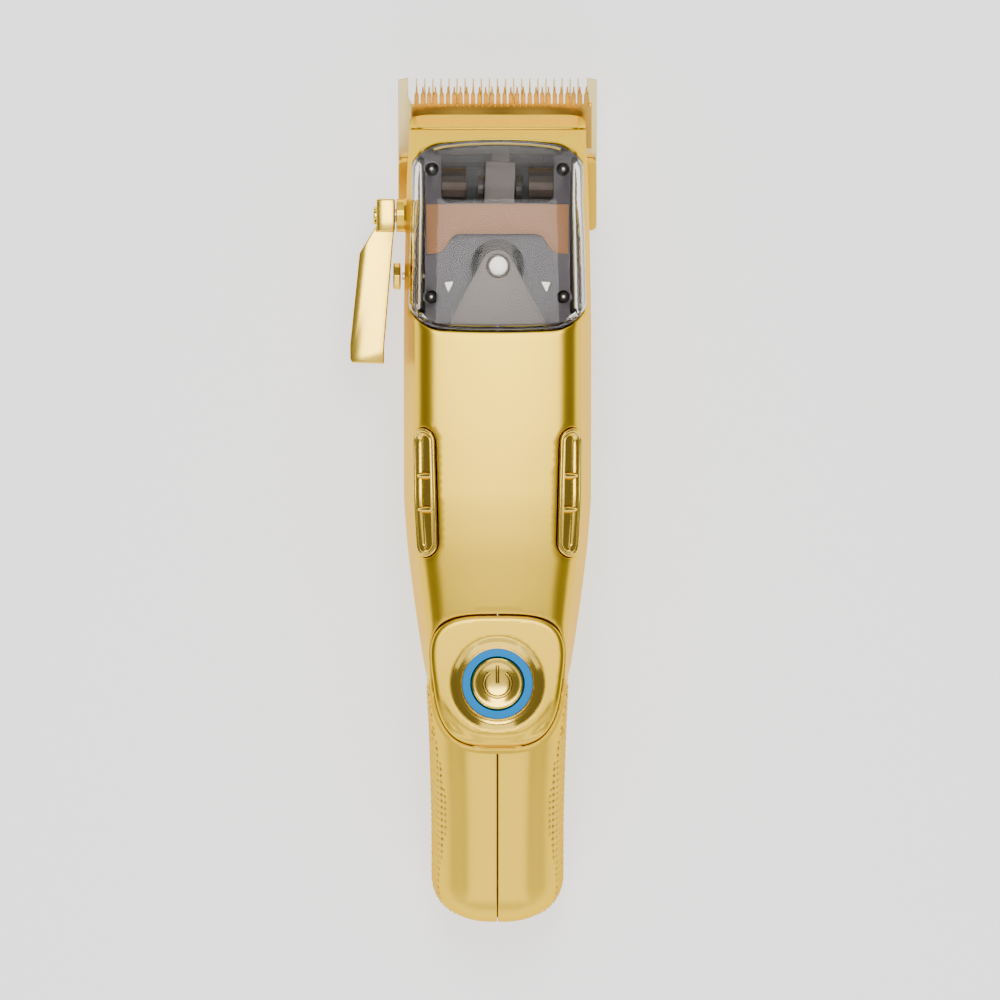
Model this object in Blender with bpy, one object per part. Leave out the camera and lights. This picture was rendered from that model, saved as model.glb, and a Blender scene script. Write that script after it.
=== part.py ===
"""Cordless hair clipper: a curved metal-look casing with an adjustable blade set.

Frame: metres, +Y towards the blade tips, +X to the right as seen from above,
+Z up through the window side. The origin lies on the flat sole, under the
pivot of the drive arm.
"""

import bmesh
import bpy
from math import atan2, cos, pi, radians, sin, sqrt, tan
from mathutils import Vector

MM = 0.001

# ---- driving dimensions, in millimetres -------------------------------------
GAP = 0.3                    # between neighbouring pieces
WALL = 2.0                   # casing wall
RING_STEPS = 3               # segments in each rounded corner of the casing
SIDE_ROUND = 1.8             # rounding of the sides, as a multiple of the top corner's

SPINE_Z = 30.0               # centre line of the barrel above the sole
BEND_Y = -80.0               # where the barrel ends and the handle bends down
BEND_RADIUS = 60.0
HANDLE_ANGLE = 20.0          # degrees between barrel and handle
HANDLE_LENGTH = 46.9         # straight run of the handle, to its end
END_CAP = 10.3               # length over which the handle's end is rounded
END_POWER = 2.35             # squareness of that rounding

NOSE_Y = 34.1                # front edge of the casing
NOSE_SEAM_Y = 30.9           # nose cap meets the casing
PARTING_Z = 26.0             # top cover meets the lower halves
PARTING_FRONT = (22.0, 17.0)  # the parting line drops from this Y to this Z at the nose
SHOULDER_Y = -92.0           # where the handle comes out from under the cover

BLADE_ANGLE = 20.0           # tilt of the blade plane
BLADE_TIP = (42.1, 15.2)     # Y and Z of the fixed blade's tips
BLADE_HALF_WIDTH = 22.1
BLADE_LENGTH = 32.0
BLADE_THICKNESS = 2.6
BLADE_TEETH = 21
BLADE_PITCH = 1.8
CUTTER_TIP_Y = 40.35
CUTTER_LENGTH = 14.0
CUTTER_HALF_WIDTH = 20.1
CUTTER_THICKNESS = 1.8
CUTTER_TEETH = 28
CUTTER_PITCH = 1.4
TOOTH_ROOT_Y = 35.7
TOOTH_TIP_WIDTH = 0.4
EAR_INNER_X = 19.9            # inner edge of the fixed blade's ears
EAR_ROOT_Y = 37.5             # bottom of the notch beside each ear
BLADE_SCREW_AT = (9.5, 18.0)  # X and Y of the screws that hold the blade
CARRIAGE_THICKNESS = 2.5
CARRIAGE_REAR_Y = 9.2
CARRIAGE_FRONT_Y = 24.5

ARM_SWING = -1.75            # degrees the drive arm stands off centre at rest
PIN_Y = 28.6                 # drive pin, from the pivot
PIN_RADIUS = 1.2
PIVOT_RADIUS = 1.5
MAGNET_Y = 17.0
MAGNET_Z = 26.6

WINDOW_Y = (-14.4, 28.1)
WINDOW_HALF_WIDTH = 20.8
WINDOW_CORNER = 8.5
WINDOW_SIDE = ((17.0, 33.5), (28.5, 28.0))  # lower edge on the casing's sides: Y, Z
LID_PROUD = 0.4
LID_THICKNESS = 1.8
LID_SCREWS = {"front": (14.5, 21.35), "rear": (14.6, -6.9)}
LID_SCREW_RADIUS = 1.5
INNER_COVER_TOP = ((-12.9, 39.6), (6.0, 39.0), (14.0, 37.2), (21.0, 33.9), (24.4, 31.6))  # Y, Z
INNER_COVER_HALF_WIDTH = 16.2
INNER_COVER_THICKNESS = 1.2

POD_Y = (-106.5, -77.5)
POD_POWER = 3.3
POD_TOP_Z = 46.2
POD_BOTTOM_Z = 34.0
POD_WALL = 1.6
COLLAR = 1.3                 # rim of the top cover around the pod
BUTTON_Y = -92.6
BUTTON_RADIUS = 5.7
LED_RADII = (6.0, 7.8)
DISH_RADII = (8.1, 10.4)
BUTTON_TRAVEL = 0.7

TRIM_ENDS = ((16.6, -36.0), (15.4, -64.5))
TRIM_WIDTH = 5.2
TRIM_TILT = 30.0             # degrees from upright to the trim's facing
TRIM_BARS = (-46.5, -54.0)

BATTERY_RADIUS = 9.1
BATTERY_Y = (-73.0, -23.0)
BATTERY_Z = 29.5
BOARD_GAP = 1.1              # control board above the cell
BOARD_THICKNESS = 1.6

LEVER_AXIS = (11.4, 21.0)    # Y and Z
LEVER_CRANK = 3.0            # eccentric pin below the shaft's centre
HUB_X = (-26.9, -22.8)
KNOB_AT = (-2.1, 22.0)       # Y and Z of the detent knob
PORT = (9.2, 3.3)            # charging port
CONTACT_X = 9.5              # charging contacts, each side of the port
CONTACT_RADIUS = 1.6

# Casing stations: Y, half-width, top, widest height, corner radius, side inset
BARREL = (
    (34.1, 19.7, 18.0, 15.0, 1.2, 1.2),
    (31.0, 19.85, 24.5, 19.5, 2.0, 1.7),
    (28.0, 19.95, 31.0, 23.5, 3.5, 2.4),
    (25.0, 20.1, 36.0, 26.0, 4.5, 3.0),
    (21.0, 20.25, 40.0, 26.0, 4.5, 3.0),
    (15.0, 20.4, 43.0, 26.0, 4.5, 3.0),
    (5.0, 20.7, 44.5, 26.0, 4.5, 3.0),
    (-15.0, 21.0, 45.5, 26.0, 4.5, 3.0),
    (-40.0, 21.0, 46.0, 26.0, 4.5, 3.0),
    (-50.0, 21.0, 46.0, 26.0, 4.5, 3.0),
    (-60.0, 20.4, 45.8, 26.0, 4.5, 3.0),
    (-70.0, 19.3, 45.3, 26.0, 4.5, 3.0),
    (-80.0, 17.9, 44.6, 26.0, 3.8, 2.8),
    (-87.5, 16.55, 43.6, 26.0, 2.2, 1.6),
    (-92.0, 15.8, 42.8, 26.0, 1.2, 0.9),
    (-100.0, 15.0, 41.4, 26.0, 1.0, 0.5),
    (-108.0, 14.0, 40.2, 26.0, 1.0, 0.5),
)
# Underside of the casing: Y, height
UNDERSIDE = ((34.1, 0.0), (-16.0, 0.0), (-30.0, 2.5), (-50.0, 8.0), (-70.0, 13.0), (-80.0, 15.0))
HANDLE_CORNER = 4.5
HANDLE_INSET = 3.0
# Handle, by distance along the centre line: half-width, above it, below it, widest above it
HANDLE = (
    (80.0, 17.9, 14.6, 15.0, -4.0),
    (86.0, 16.9, 12.6, 15.3, -3.0),
    (92.0, 16.0, 11.2, 15.4, -2.0),
    (97.0, 16.0, 11.3, 15.4, -1.2),
    (101.0, 15.95, 11.5, 15.3, -0.5),
    (111.0, 15.65, 11.8, 15.0, -0.5),
    (127.0, 15.3, 12.0, 14.5, -0.5),
    (148.0, 15.3, 12.1, 14.0, -0.5),
)

FINISHES = {
    "satin_gold": ((0.78, 0.62, 0.30), 0.32, 1.0),
    "polished_gold": ((0.83, 0.66, 0.33), 0.15, 1.0),
    "grip_gold": ((0.70, 0.55, 0.27), 0.40, 1.0),
    "smoked_clear": ((0.05, 0.05, 0.05), 0.08, 0.0),
    "dark_plastic": ((0.10, 0.09, 0.10), 0.45, 0.0),
    "bronze": ((0.60, 0.45, 0.35), 0.35, 1.0),
    "blasted_steel": ((0.40, 0.37, 0.36), 0.55, 1.0),
    "steel": ((0.60, 0.58, 0.55), 0.30, 1.0),
    "copper": ((0.72, 0.36, 0.20), 0.35, 1.0),
    "magnet": ((0.45, 0.45, 0.47), 0.25, 1.0),
    "light_blue": ((0.01, 0.33, 0.60), 0.30, 0.0),
    "board": ((0.02, 0.12, 0.07), 0.50, 0.0),
    "cell": ((0.05, 0.12, 0.30), 0.40, 0.0),
}


# ---- scene helpers ----------------------------------------------------------
def finish(name):
    """The named finish as a Principled BSDF material, made once."""
    material = bpy.data.materials.get(name)
    if material:
        return material
    colour, roughness, metallic = FINISHES[name]
    material = bpy.data.materials.new(name)
    material.use_nodes = True
    shader = material.node_tree.nodes["Principled BSDF"]
    shader.inputs["Base Color"].default_value = (*colour, 1.0)
    shader.inputs["Roughness"].default_value = roughness
    shader.inputs["Metallic"].default_value = metallic
    return material


def to_object(bm, name, look=None, parent=None, smooth=True):
    """Turn a bmesh drawn in millimetres into an object; with no finish it is a cutter."""
    bmesh.ops.recalc_face_normals(bm, faces=bm.faces)
    bmesh.ops.scale(bm, vec=(MM, MM, MM), verts=bm.verts)
    mesh = bpy.data.meshes.new(name)
    bm.to_mesh(mesh)
    bm.free()
    if smooth:
        mesh.shade_smooth()
        mesh.set_sharp_from_angle(angle=radians(35))
    obj = bpy.data.objects.new(name, mesh)
    bpy.context.collection.objects.link(obj)
    if look:
        mesh.materials.append(finish(look))
    else:
        obj.hide_render = True
        obj.display_type = "WIRE"
    if parent:
        obj.parent = parent
    return obj


def axis_empty(name, at, tilt=0.0, turn=0.0, roll=0.0):
    """An empty that carries pieces drawn about its own origin; angles in degrees."""
    empty = bpy.data.objects.new(name, None)
    empty.location = Vector(at) * MM
    empty.rotation_euler = (radians(tilt), radians(roll), radians(turn))
    bpy.context.collection.objects.link(empty)
    return empty


def boolean(obj, cutter, operation="DIFFERENCE"):
    modifier = obj.modifiers.new(cutter.name, "BOOLEAN")
    modifier.operation = operation
    modifier.object = cutter
    modifier.solver = obj.get("solver", "EXACT")
    return obj


def cut(obj, *cutters):
    for cutter in cutters:
        boolean(obj, cutter)
    return obj


def keep(obj, *cutters):
    for cutter in cutters:
        boolean(obj, cutter, "INTERSECT")
    return obj


def join(obj, *others):
    for other in others:
        boolean(obj, other, "UNION")
    return obj


# ---- basic solids -----------------------------------------------------------
def box(name, low, high, look=None, parent=None, bevel=0.0):
    bm = bmesh.new()
    bmesh.ops.create_cube(bm, size=1.0)
    for vertex in bm.verts:
        for axis in range(3):
            vertex.co[axis] = high[axis] if vertex.co[axis] > 0 else low[axis]
    if bevel:
        bmesh.ops.bevel(bm, geom=bm.edges[:], offset=bevel, segments=2, profile=0.5, affect="EDGES")
    return to_object(bm, name, look, parent, smooth=bool(bevel))


AXES = {"X": (1, 2, 0), "Y": (2, 0, 1), "Z": (0, 1, 2)}


def prism(name, outline, low, high, axis="Z", look=None, parent=None):
    """Extrude a closed outline along an axis; outline points are the next two axes in turn."""
    first, second, along = AXES[axis]
    bm = bmesh.new()
    loops = []
    for level in (low, high):
        loop = []
        for a, b in outline:
            point = [0.0, 0.0, 0.0]
            point[first] = a
            point[second] = b
            point[along] = level
            loop.append(bm.verts.new(point))
        loops.append(loop)
    bm.faces.new(loops[0])
    bm.faces.new(loops[1])
    for i in range(len(outline)):
        j = (i + 1) % len(outline)
        bm.faces.new((loops[0][i], loops[0][j], loops[1][j], loops[1][i]))
    return to_object(bm, name, look, parent)


def turned(name, profile, at=(0, 0, 0), axis="Z", steps=24, look=None, parent=None):
    """Turn a profile of (radius, height) about an axis: a ring if it keeps off the axis."""
    first, second, along = AXES[axis]
    bm = bmesh.new()
    rings = []
    for radius, height in profile:
        ring = []
        for k in range(1 if radius == 0 else steps):
            point = list(at)
            point[first] += radius * cos(2 * pi * k / steps)
            point[second] += radius * sin(2 * pi * k / steps)
            point[along] += height
            ring.append(bm.verts.new(point))
        rings.append(ring)
    closed = profile[0][0] > 0
    pairs = list(zip(rings, rings[1:])) + ([(rings[-1], rings[0])] if closed else [])
    for lower, upper in pairs:
        for k in range(steps):
            j = (k + 1) % steps
            corners = [lower[k % len(lower)], lower[j % len(lower)]]
            corners += [upper[j % len(upper)], upper[k % len(upper)]]
            bm.faces.new(list(dict.fromkeys(corners)))
    return to_object(bm, name, look, parent)


def rod(name, radius, low, high, at=(0, 0, 0), axis="Z", steps=16, look=None, parent=None,
        chamfer=0.0):
    profile = [(0, low), (radius - chamfer, low)]
    if chamfer:
        profile += [(radius, low + chamfer), (radius, high - chamfer)]
    profile += [(radius - chamfer, high), (0, high)]
    return turned(name, profile, at, axis, steps, look, parent)


def tube(name, inner, outer, low, high, at=(0, 0, 0), axis="Z", steps=24, look=None, parent=None):
    profile = [(inner, low), (outer, low), (outer, high), (inner, high)]
    return turned(name, profile, at, axis, steps, look, parent)


def rounded(x0, y0, x1, y1, radius, steps=4):
    """A rectangle with rounded corners."""
    points = []
    corners = ((x1 - radius, y1 - radius, 0), (x0 + radius, y1 - radius, 90),
               (x0 + radius, y0 + radius, 180), (x1 - radius, y0 + radius, 270))
    for cx, cy, start in corners:
        for k in range(steps + 1):
            angle = radians(start + 90 * k / steps)
            points.append((cx + radius * cos(angle), cy + radius * sin(angle)))
    return points


# ---- the casing's surface ---------------------------------------------------
def between(table, at):
    """Smooth values at a place in a table whose first column is the place."""
    rows = sorted(table)
    at = min(max(at, rows[0][0]), rows[-1][0])
    index = max(i for i in range(len(rows) - 1) if rows[i][0] <= at)
    before, after = rows[index], rows[index + 1]
    span = after[0] - before[0]
    share = (at - before[0]) / span
    values = []
    for column in range(1, len(before)):
        slopes = []
        for i in (index, index + 1):
            left = rows[max(i - 1, 0):i + 1]
            right = rows[i:i + 2]
            rises = [(run[-1][column] - run[0][column]) / max(run[-1][0] - run[0][0], 1e-9) for run in (left, right)]
            product = rises[0] * rises[1]
            slopes.append(2 * product / (rises[0] + rises[1]) * span if product > 0 else 0.0)
        t2, t3 = share ** 2, share ** 3
        values.append((2 * t3 - 3 * t2 + 1) * before[column] + (t3 - 2 * t2 + share) * slopes[0]
                      + (3 * t2 - 2 * t3) * after[column] + (t3 - t2) * slopes[1])
    return values


def crossing(p, q):
    """Where two lines meet, each given as (normal x, normal y, distance)."""
    det = p[0] * q[1] - q[0] * p[1]
    return ((p[2] * q[1] - q[2] * p[1]) / det, (p[0] * q[2] - q[0] * p[2]) / det)


def line(a, b, offset):
    """The line from a to b, moved by offset to the left of its direction."""
    dx, dy = b[0] - a[0], b[1] - a[1]
    length = sqrt(dx * dx + dy * dy)
    nx, ny = -dy / length, dx / length
    return (nx, ny, nx * a[0] + ny * a[1] + offset)


def section(width, top, bottom, widest, corner, inset, offset=0.0, crown=0.8):
    """One closed ring of the casing: flat crowned top, two sloping sides, narrower bottom."""
    narrow = min(1.0, width / 12.0)
    p0, p1 = (0.0, top), (width - inset * narrow, top)
    p2, p3 = (width, widest), (0.72 * width, bottom)
    lines = [line(a, b, offset) for a, b in ((p0, p1), (p1, p2), (p2, p3), (p3, (0.0, bottom)))]
    radii = [max(0.5, r * narrow + offset) for r in (corner, SIDE_ROUND * corner, 6.5)]
    half = []
    reach = crossing(lines[0], lines[1])[0]
    for before, after, radius in zip(lines, lines[1:], radii):
        corner_at = crossing(before, after)
        start = atan2(before[1], before[0])
        stop = atan2(after[1], after[0])
        swing = (start - stop) % (2 * pi)
        back = radius / cos(swing / 2)
        middle = start - swing / 2
        cx, cy = corner_at[0] - back * cos(middle), corner_at[1] - back * sin(middle)
        for k in range(RING_STEPS + 1):
            angle = start - swing * k / RING_STEPS
            half.append((cx + radius * cos(angle), cy + radius * sin(angle)))
    half.insert(0, (0.5 * half[0][0], half[0][1]))
    half = [(x, y + crown * max(0.0, 1 - (x / reach) ** 2) if k < 3 else y) for k, (x, y) in enumerate(half)]
    ends = [(0.0, top + offset + crown), (0.0, bottom - offset)]
    return [ends[0]] + half + [ends[1]] + [(-x, y) for x, y in reversed(half)]


def spine(place):
    """Point and downward angle of the centre line at a distance along it."""
    bend = -BEND_Y
    arc = BEND_RADIUS * radians(HANDLE_ANGLE)
    turn = min(max(place - bend, 0.0), arc) / BEND_RADIUS
    y = BEND_Y - BEND_RADIUS * sin(turn)
    z = SPINE_Z - BEND_RADIUS * (1 - cos(turn))
    run = place - bend if place < bend else max(0.0, place - bend - arc)
    return y - run * cos(turn), z - run * sin(turn), turn


HANDLE_END = -BEND_Y + BEND_RADIUS * radians(HANDLE_ANGLE) + HANDLE_LENGTH


def body_ring(place, offset=0.0):
    """Ring of the lower casing at a distance along the centre line."""
    if place <= -BEND_Y:
        width, top, widest, corner, inset = between(BARREL, -place)
        bottom = between(UNDERSIDE, -place)[0]
        top, bottom, widest = top - SPINE_Z, bottom - SPINE_Z, widest - SPINE_Z
    else:
        width, top, below, widest = between(HANDLE, place)
        bottom, corner, inset = -below, HANDLE_CORNER, HANDLE_INSET
    end = HANDLE_END + offset
    into = max(0.0, place - (end - END_CAP)) / END_CAP
    shrink = max(0.04, 1 - into ** END_POWER) ** (1 / END_POWER)
    ring = section(width, top, bottom, widest, corner, inset, offset)
    y, z, turn = spine(place)
    points = []
    for x, h in ring:
        h = widest + (h - widest) * shrink
        points.append((x * shrink, y - h * sin(turn), z + h * cos(turn)))
    return points


def pod_half_width(y, grow=0.0):
    """Half-width of the pod's squarish outline at a place along the casing."""
    middle = (POD_Y[0] + POD_Y[1]) / 2
    half = (POD_Y[1] - POD_Y[0]) / 2 + grow
    share = min(1.0, abs(y - middle) / half)
    return (14.98 + 0.133 * (y + 87.0) + grow) * (1 - share ** POD_POWER) ** (1 / POD_POWER)


def cover_ring(y, offset=0.0):
    """Ring of the top cover, whose rear closes around the pod."""
    width, top, widest, corner, inset = between(BARREL, y)
    bottom = between(UNDERSIDE, y)[0]
    if y < SHOULDER_Y - 3.0:
        width = max(1.2, min(width + offset, pod_half_width(y, COLLAR + offset)))
        ring = section(width, top + offset, bottom - offset, widest, corner, inset)
    else:
        ring = section(width, top, bottom, widest, corner, inset, offset)
    return [(x, y, z) for x, z in ring]


def loft(name, rings, look=None):
    """Skin rings into a closed solid; its fine facets are cut with the sturdier solver."""
    bm = bmesh.new()
    loops = [[bm.verts.new(point) for point in ring] for ring in rings]
    for loop, following in zip(loops, loops[1:]):
        for k in range(len(loop)):
            j = (k + 1) % len(loop)
            bm.faces.new((loop[k], loop[j], following[j], following[k]))
    bm.faces.new(loops[0])
    bm.faces.new(loops[-1])
    obj = to_object(bm, name, look)
    obj["solver"] = "MANIFOLD"
    return obj


def spread(start, stop, *stations):
    """Stations between two places, with both ends."""
    inner = sorted(s for s in stations if min(start, stop) + 0.4 < s < max(start, stop) - 0.4)
    return [min(start, stop)] + inner + [max(start, stop)]


FRONT_STATIONS = (34.1, 32.5, 31, 29.5, 28, 26.5, 25, 23, 21, 18, 15, 10, 5)
BARREL_STATIONS = (-5, -15, -28, -40, -50, -60, -70, -80, -87.5, -92)


def body_solid(name, offset, front, look=None):
    """The lower casing's outer surface moved by offset, closed at both ends."""
    end = HANDLE_END + offset
    rounding = [end - END_CAP * share for share in (1.0, 0.8, 0.6, 0.42, 0.28, 0.16, 0.07, 0.02)]
    curve = [84, 88, 92, 97, 101, 111, 122, 130]
    barrel = [-y for y in FRONT_STATIONS + BARREL_STATIONS[:-2]]
    places = spread(-front, end, *barrel, *curve, *rounding)
    return loft(name, [body_ring(place, offset) for place in places], look)


def cover_solid(name, offset, front, rear=None, look=None):
    """The top cover's outer surface moved by offset, closed at both ends."""
    last = POD_Y[0] - COLLAR - offset
    rear = last if rear is None else rear
    tail = [last + step for step in (0.3, 1.2, 2.6, 4.6, 7.5, 11.5)]
    places = spread(rear, front, *FRONT_STATIONS, *BARREL_STATIONS, *tail)
    return loft(name, [cover_ring(y, offset) for y in places], look)


def upper_region(name, clearance):
    """Everything above the parting line, seen from the side."""
    y0, z1 = PARTING_FRONT
    seam = NOSE_SEAM_Y - GAP / 2
    low = PARTING_Z + clearance
    outline = [(SHOULDER_Y, low), (y0, low), (seam, z1 + clearance), (60, z1 + clearance), (60, 80),
               (SHOULDER_Y, 80)]
    return prism(name, outline, -40, 40, "X")


# ---- blade frame ------------------------------------------------------------
def blade_point(y, above=0.0):
    """World Y and Z of a point above the blade's contact plane."""
    tilt = radians(BLADE_ANGLE)
    return y, BLADE_TIP[1] + (y - BLADE_TIP[0]) * tan(tilt) + above / cos(tilt)


def along_blade(y):
    """Distance along the blade from its tips, for a world Y on the contact plane."""
    return (y - BLADE_TIP[0]) / cos(radians(BLADE_ANGLE))


def bay_cutter(name, above, rear):
    """Everything below the blade bay's ceiling, ahead of a vertical wall."""
    outline = [(rear, -5), blade_point(rear, above), blade_point(60, above), (60, -5)]
    return prism(name, outline, -40, 40, "X")


def comb(half_width, rear, root, tip, count, pitch, root_width, tip_width, shift=0.0):
    """Outline of a toothed plate: a straight rear edge and pointed teeth in front."""
    outline = [(-half_width + shift, rear), (half_width + shift, rear), (half_width + shift, root)]
    for k in reversed(range(count)):
        centre = (k - (count - 1) / 2) * pitch + shift
        outline += [(centre + root_width / 2, root), (centre + tip_width / 2, tip)]
        outline += [(centre - tip_width / 2, tip), (centre - root_width / 2, root)]
    outline.append((-half_width + shift, root))
    return outline


def fixed_blade(frame):
    """Steel comb with a broad ear on each side."""
    root = along_blade(TOOTH_ROOT_Y)
    ear = along_blade(EAR_ROOT_Y)
    half, inner, comb_half = BLADE_HALF_WIDTH, EAR_INNER_X, BLADE_TEETH * BLADE_PITCH / 2
    teeth = comb(comb_half, -BLADE_LENGTH, root, 0.0, BLADE_TEETH, BLADE_PITCH, 1.1, TOOTH_TIP_WIDTH)
    outline = [(half, -BLADE_LENGTH), (half, -0.4), (inner, 0.0), (inner, ear), (comb_half, root)]
    outline += teeth[3:-1]
    outline += [(-comb_half, root), (-inner, ear), (-inner, 0.0), (-half, -0.4), (-half, -BLADE_LENGTH)]
    blade = prism("fixed_blade", outline, -BLADE_THICKNESS, 0.0, "Z", "steel", frame)
    under = [(-7.5, -BLADE_THICKNESS - 0.01), (1.0, -0.35), (1.0, -4.0), (-7.5, -4.0)]
    cut(blade, prism("blade_bevel_cut", under, -30, 30, "X", parent=frame))
    for side in (-1, 1):
        x, y = BLADE_SCREW_AT
        cut(blade, rod("blade_hole_%d" % side, 1.55, -5, 2, (x * side, along_blade(y), 0), parent=frame))
    return blade


def cutter_blade(frame):
    shift = -PIN_Y * sin(radians(ARM_SWING))
    tip = along_blade(CUTTER_TIP_Y)
    root = along_blade(TOOTH_ROOT_Y)
    outline = comb(CUTTER_HALF_WIDTH, tip - CUTTER_LENGTH, root, tip, CUTTER_TEETH, CUTTER_PITCH, 0.9,
                   TOOTH_TIP_WIDTH, shift)
    cutter = prism("cutter_blade", outline, GAP, GAP + CUTTER_THICKNESS, "Z", "polished_gold", frame)
    face = [(root - 0.5, GAP + CUTTER_THICKNESS + 0.01), (tip + 1, 0.9), (tip + 1, 4), (root - 0.5, 4)]
    cut(cutter, prism("cutter_bevel_cut", face, -30, 30, "X", parent=frame))
    low, high = GAP * 2 + CUTTER_THICKNESS, 4.8
    guide = box("cutter_guide", (shift - 11, along_blade(28.4), low), (shift + 11, along_blade(32.3), high),
                "dark_plastic", frame)
    slot = PIN_RADIUS + 0.15
    cut(guide, box("guide_slot", (shift - slot, along_blade(25), 1), (shift + slot, along_blade(31.7), 8),
                   parent=frame))
    return cutter


def blade_carriage(frame):
    """Plate under which the fixed blade is screwed; the lever's pin works its ear."""
    rear, front = along_blade(CARRIAGE_REAR_Y), along_blade(CARRIAGE_FRONT_Y)
    half = BLADE_HALF_WIDTH
    outline = rounded(-half, rear, half, front, 1.2)
    plate = prism("blade_carriage", outline, GAP, GAP + CARRIAGE_THICKNESS, "Z", "satin_gold", frame)
    y, z = LEVER_AXIS
    floor = blade_point(y, GAP + CARRIAGE_THICKNESS)[1] - 1.0
    ear = box("carriage_ear", (-17.2, y - 2.4, floor), (-15.9, y + 3.0, z + 1.0))
    slot = rounded(y - 1.65, z - LEVER_CRANK - 2.2, y + 1.65, z - LEVER_CRANK + 3.0, 1.6)
    join(plate, ear)
    cut(plate, prism("ear_slot", slot, -18, -15, "X"))
    for side in (-1, 1):
        x, y = BLADE_SCREW_AT
        at = (x * side, along_blade(y), 0)
        cut(plate, rod("carriage_hole_%d" % side, 1.4, -1, 5, at, parent=frame))
        name = "blade_screw_left" if side < 0 else "blade_screw_right"
        seat = -BLADE_THICKNESS - GAP
        profile = [(0, -3.6), (2.2, -3.6), (2.6, -3.2), (2.6, seat), (1.1, seat), (1.1, 2.2), (0, 2.2)]
        cut(turned(name, profile, at, steps=18, look="steel", parent=frame),
            box(name + "_drive", (at[0] - 2.0, at[1] - 0.3, -4), (at[0] + 2.0, at[1] + 0.3, -3.25),
                parent=frame))
    return plate


# ---- drive ------------------------------------------------------------------
def motor_frame():
    """Sole pad, floor, step and deck in one piece, with the pivot's post."""
    deck = [(5.0, 2.4), (5.0, 5.0), (5.6, 5.0), (5.6, 13.5), (26.0, 13.5), (26.0, 16.0), (3.2, 16.0),
            (3.2, 5.0), (-16.0, 5.0), (-16.0, 2.4)]
    frame = prism("motor_frame", deck, -10.2, 10.2, "X", "steel")
    join(frame, box("sole_pad", (-9, -13, 0), (9, 5, 3)),
         box("deck_plate", (-14.6, 4.0, 13.6), (14.6, 25.9, 15.9)),
         rod("pivot_post", 4.0, 3.0, 23.7, steps=20))
    return cut(frame, rod("post_bore", PIVOT_RADIUS + 0.12, 12.0, 26.0, steps=16))


def motor_sides(side, word):
    """Iron core and copper coil on one side of the arm."""
    def place(a, b):
        return sorted((side * a, side * b))
    x0, x1 = place(12.8, 14.6)
    core = box("core_" + word, (x0, MAGNET_Y - 5, 16.3), (x1, MAGNET_Y + 5, 31.2), "steel")
    stub_low, stub_high = place(7.2, 13.6)
    join(core, rod("core_stub_" + word, 2.2, stub_low, stub_high, (0, MAGNET_Y, MAGNET_Z), "X"))
    low, high = place(6.9, 12.5)
    tube("coil_" + word, 2.5, 5.0, low, high, (0, MAGNET_Y, MAGNET_Z), "X", 20, "copper")


def drive_arm(frame):
    """Swinging arm with a magnet on each side and a pin at its tip; drawn about the pivot."""
    arm = box("drive_arm", (-3.3, -4.0, 24.0), (3.3, 23.0, 33.0), "blasted_steel", frame)
    join(arm, rod("arm_hub", 4.5, 24.05, 32.95, steps=20, parent=frame),
         box("arm_neck", (-2.0, 20.0, 17.4), (2.0, 24.0, 26.0), parent=frame),
         box("arm_finger", (-1.95, 21.0, 17.5), (1.95, PIN_Y + 1.8, 19.8), parent=frame))
    cut(arm, rod("arm_bore", PIVOT_RADIUS + 0.2, 20, 40, steps=16, parent=frame),
        rod("arm_pin_bore", PIN_RADIUS + 0.12, 15, 25, (0, PIN_Y, 0), steps=16, parent=frame))
    for side, word in ((-1, "left"), (1, "right")):
        low, high = sorted((side * 3.6, side * 4.9))
        rod("arm_magnet_" + word, 3.0, low, high, (0, MAGNET_Y, MAGNET_Z), "X", 20, "magnet", frame)
    rod("drive_pin", PIN_RADIUS, 13.4, 19.6, (0, PIN_Y, 0), steps=16, look="steel", parent=frame, chamfer=0.2)
    return arm


def tension_spring():
    outline = [(-13, 25.2), (13, 25.2), (13, 26.9), (12, 26.9), (12, 29.6), (9, 29.6), (9, 26.9), (-9, 26.9),
               (-9, 29.6), (-12, 29.6), (-12, 26.9), (-13, 26.9)]
    return prism("tension_spring", outline, 16.3, 17.0, "Z", "steel")


# ---- casing -----------------------------------------------------------------
def handle_frame():
    """Empty at the handle's end, its Y pointing up the handle."""
    y, z, _ = spine(HANDLE_END)
    return axis_empty("handle_end", (0, y, z), tilt=HANDLE_ANGLE)


def grip_outline(clearance):
    """Side outline of the grips, in Y and Z, from the barrel to past the handle's end."""
    c = clearance
    upper = [(37.0 - c, -12.0), (38.2 - c, -7.4 + c), (41.0, -5.1 + c), (79.0, -5.1 + c), (86.0, -4.9 + c),
             (92.4, -3.6 + c), (93.4, 2.0 + c), (96.0, 5.5 + c), (101.0, 7.4 + c), (111.0, 8.4 + c),
             (128.0, 9.0 + c),
             (HANDLE_END - 5.0, 9.0 + c), (HANDLE_END + 8.0, 7.4 + c)]
    lower = [(HANDLE_END + 8.0, -9.5 - c), (128.0, -9.5 - c), (108.0, -9.5 - c), (95.0, -10.0 - c),
             (80.0, -10.5 - c), (62.0, -13.5 - c), (44.0, -19.0 - c), (38.6 - c, -18.0 - c)]
    points = []
    for place, height in upper + lower:
        y, z, turn = spine(place)
        points.append((y - height * sin(turn), z + height * cos(turn)))
    return points


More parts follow.
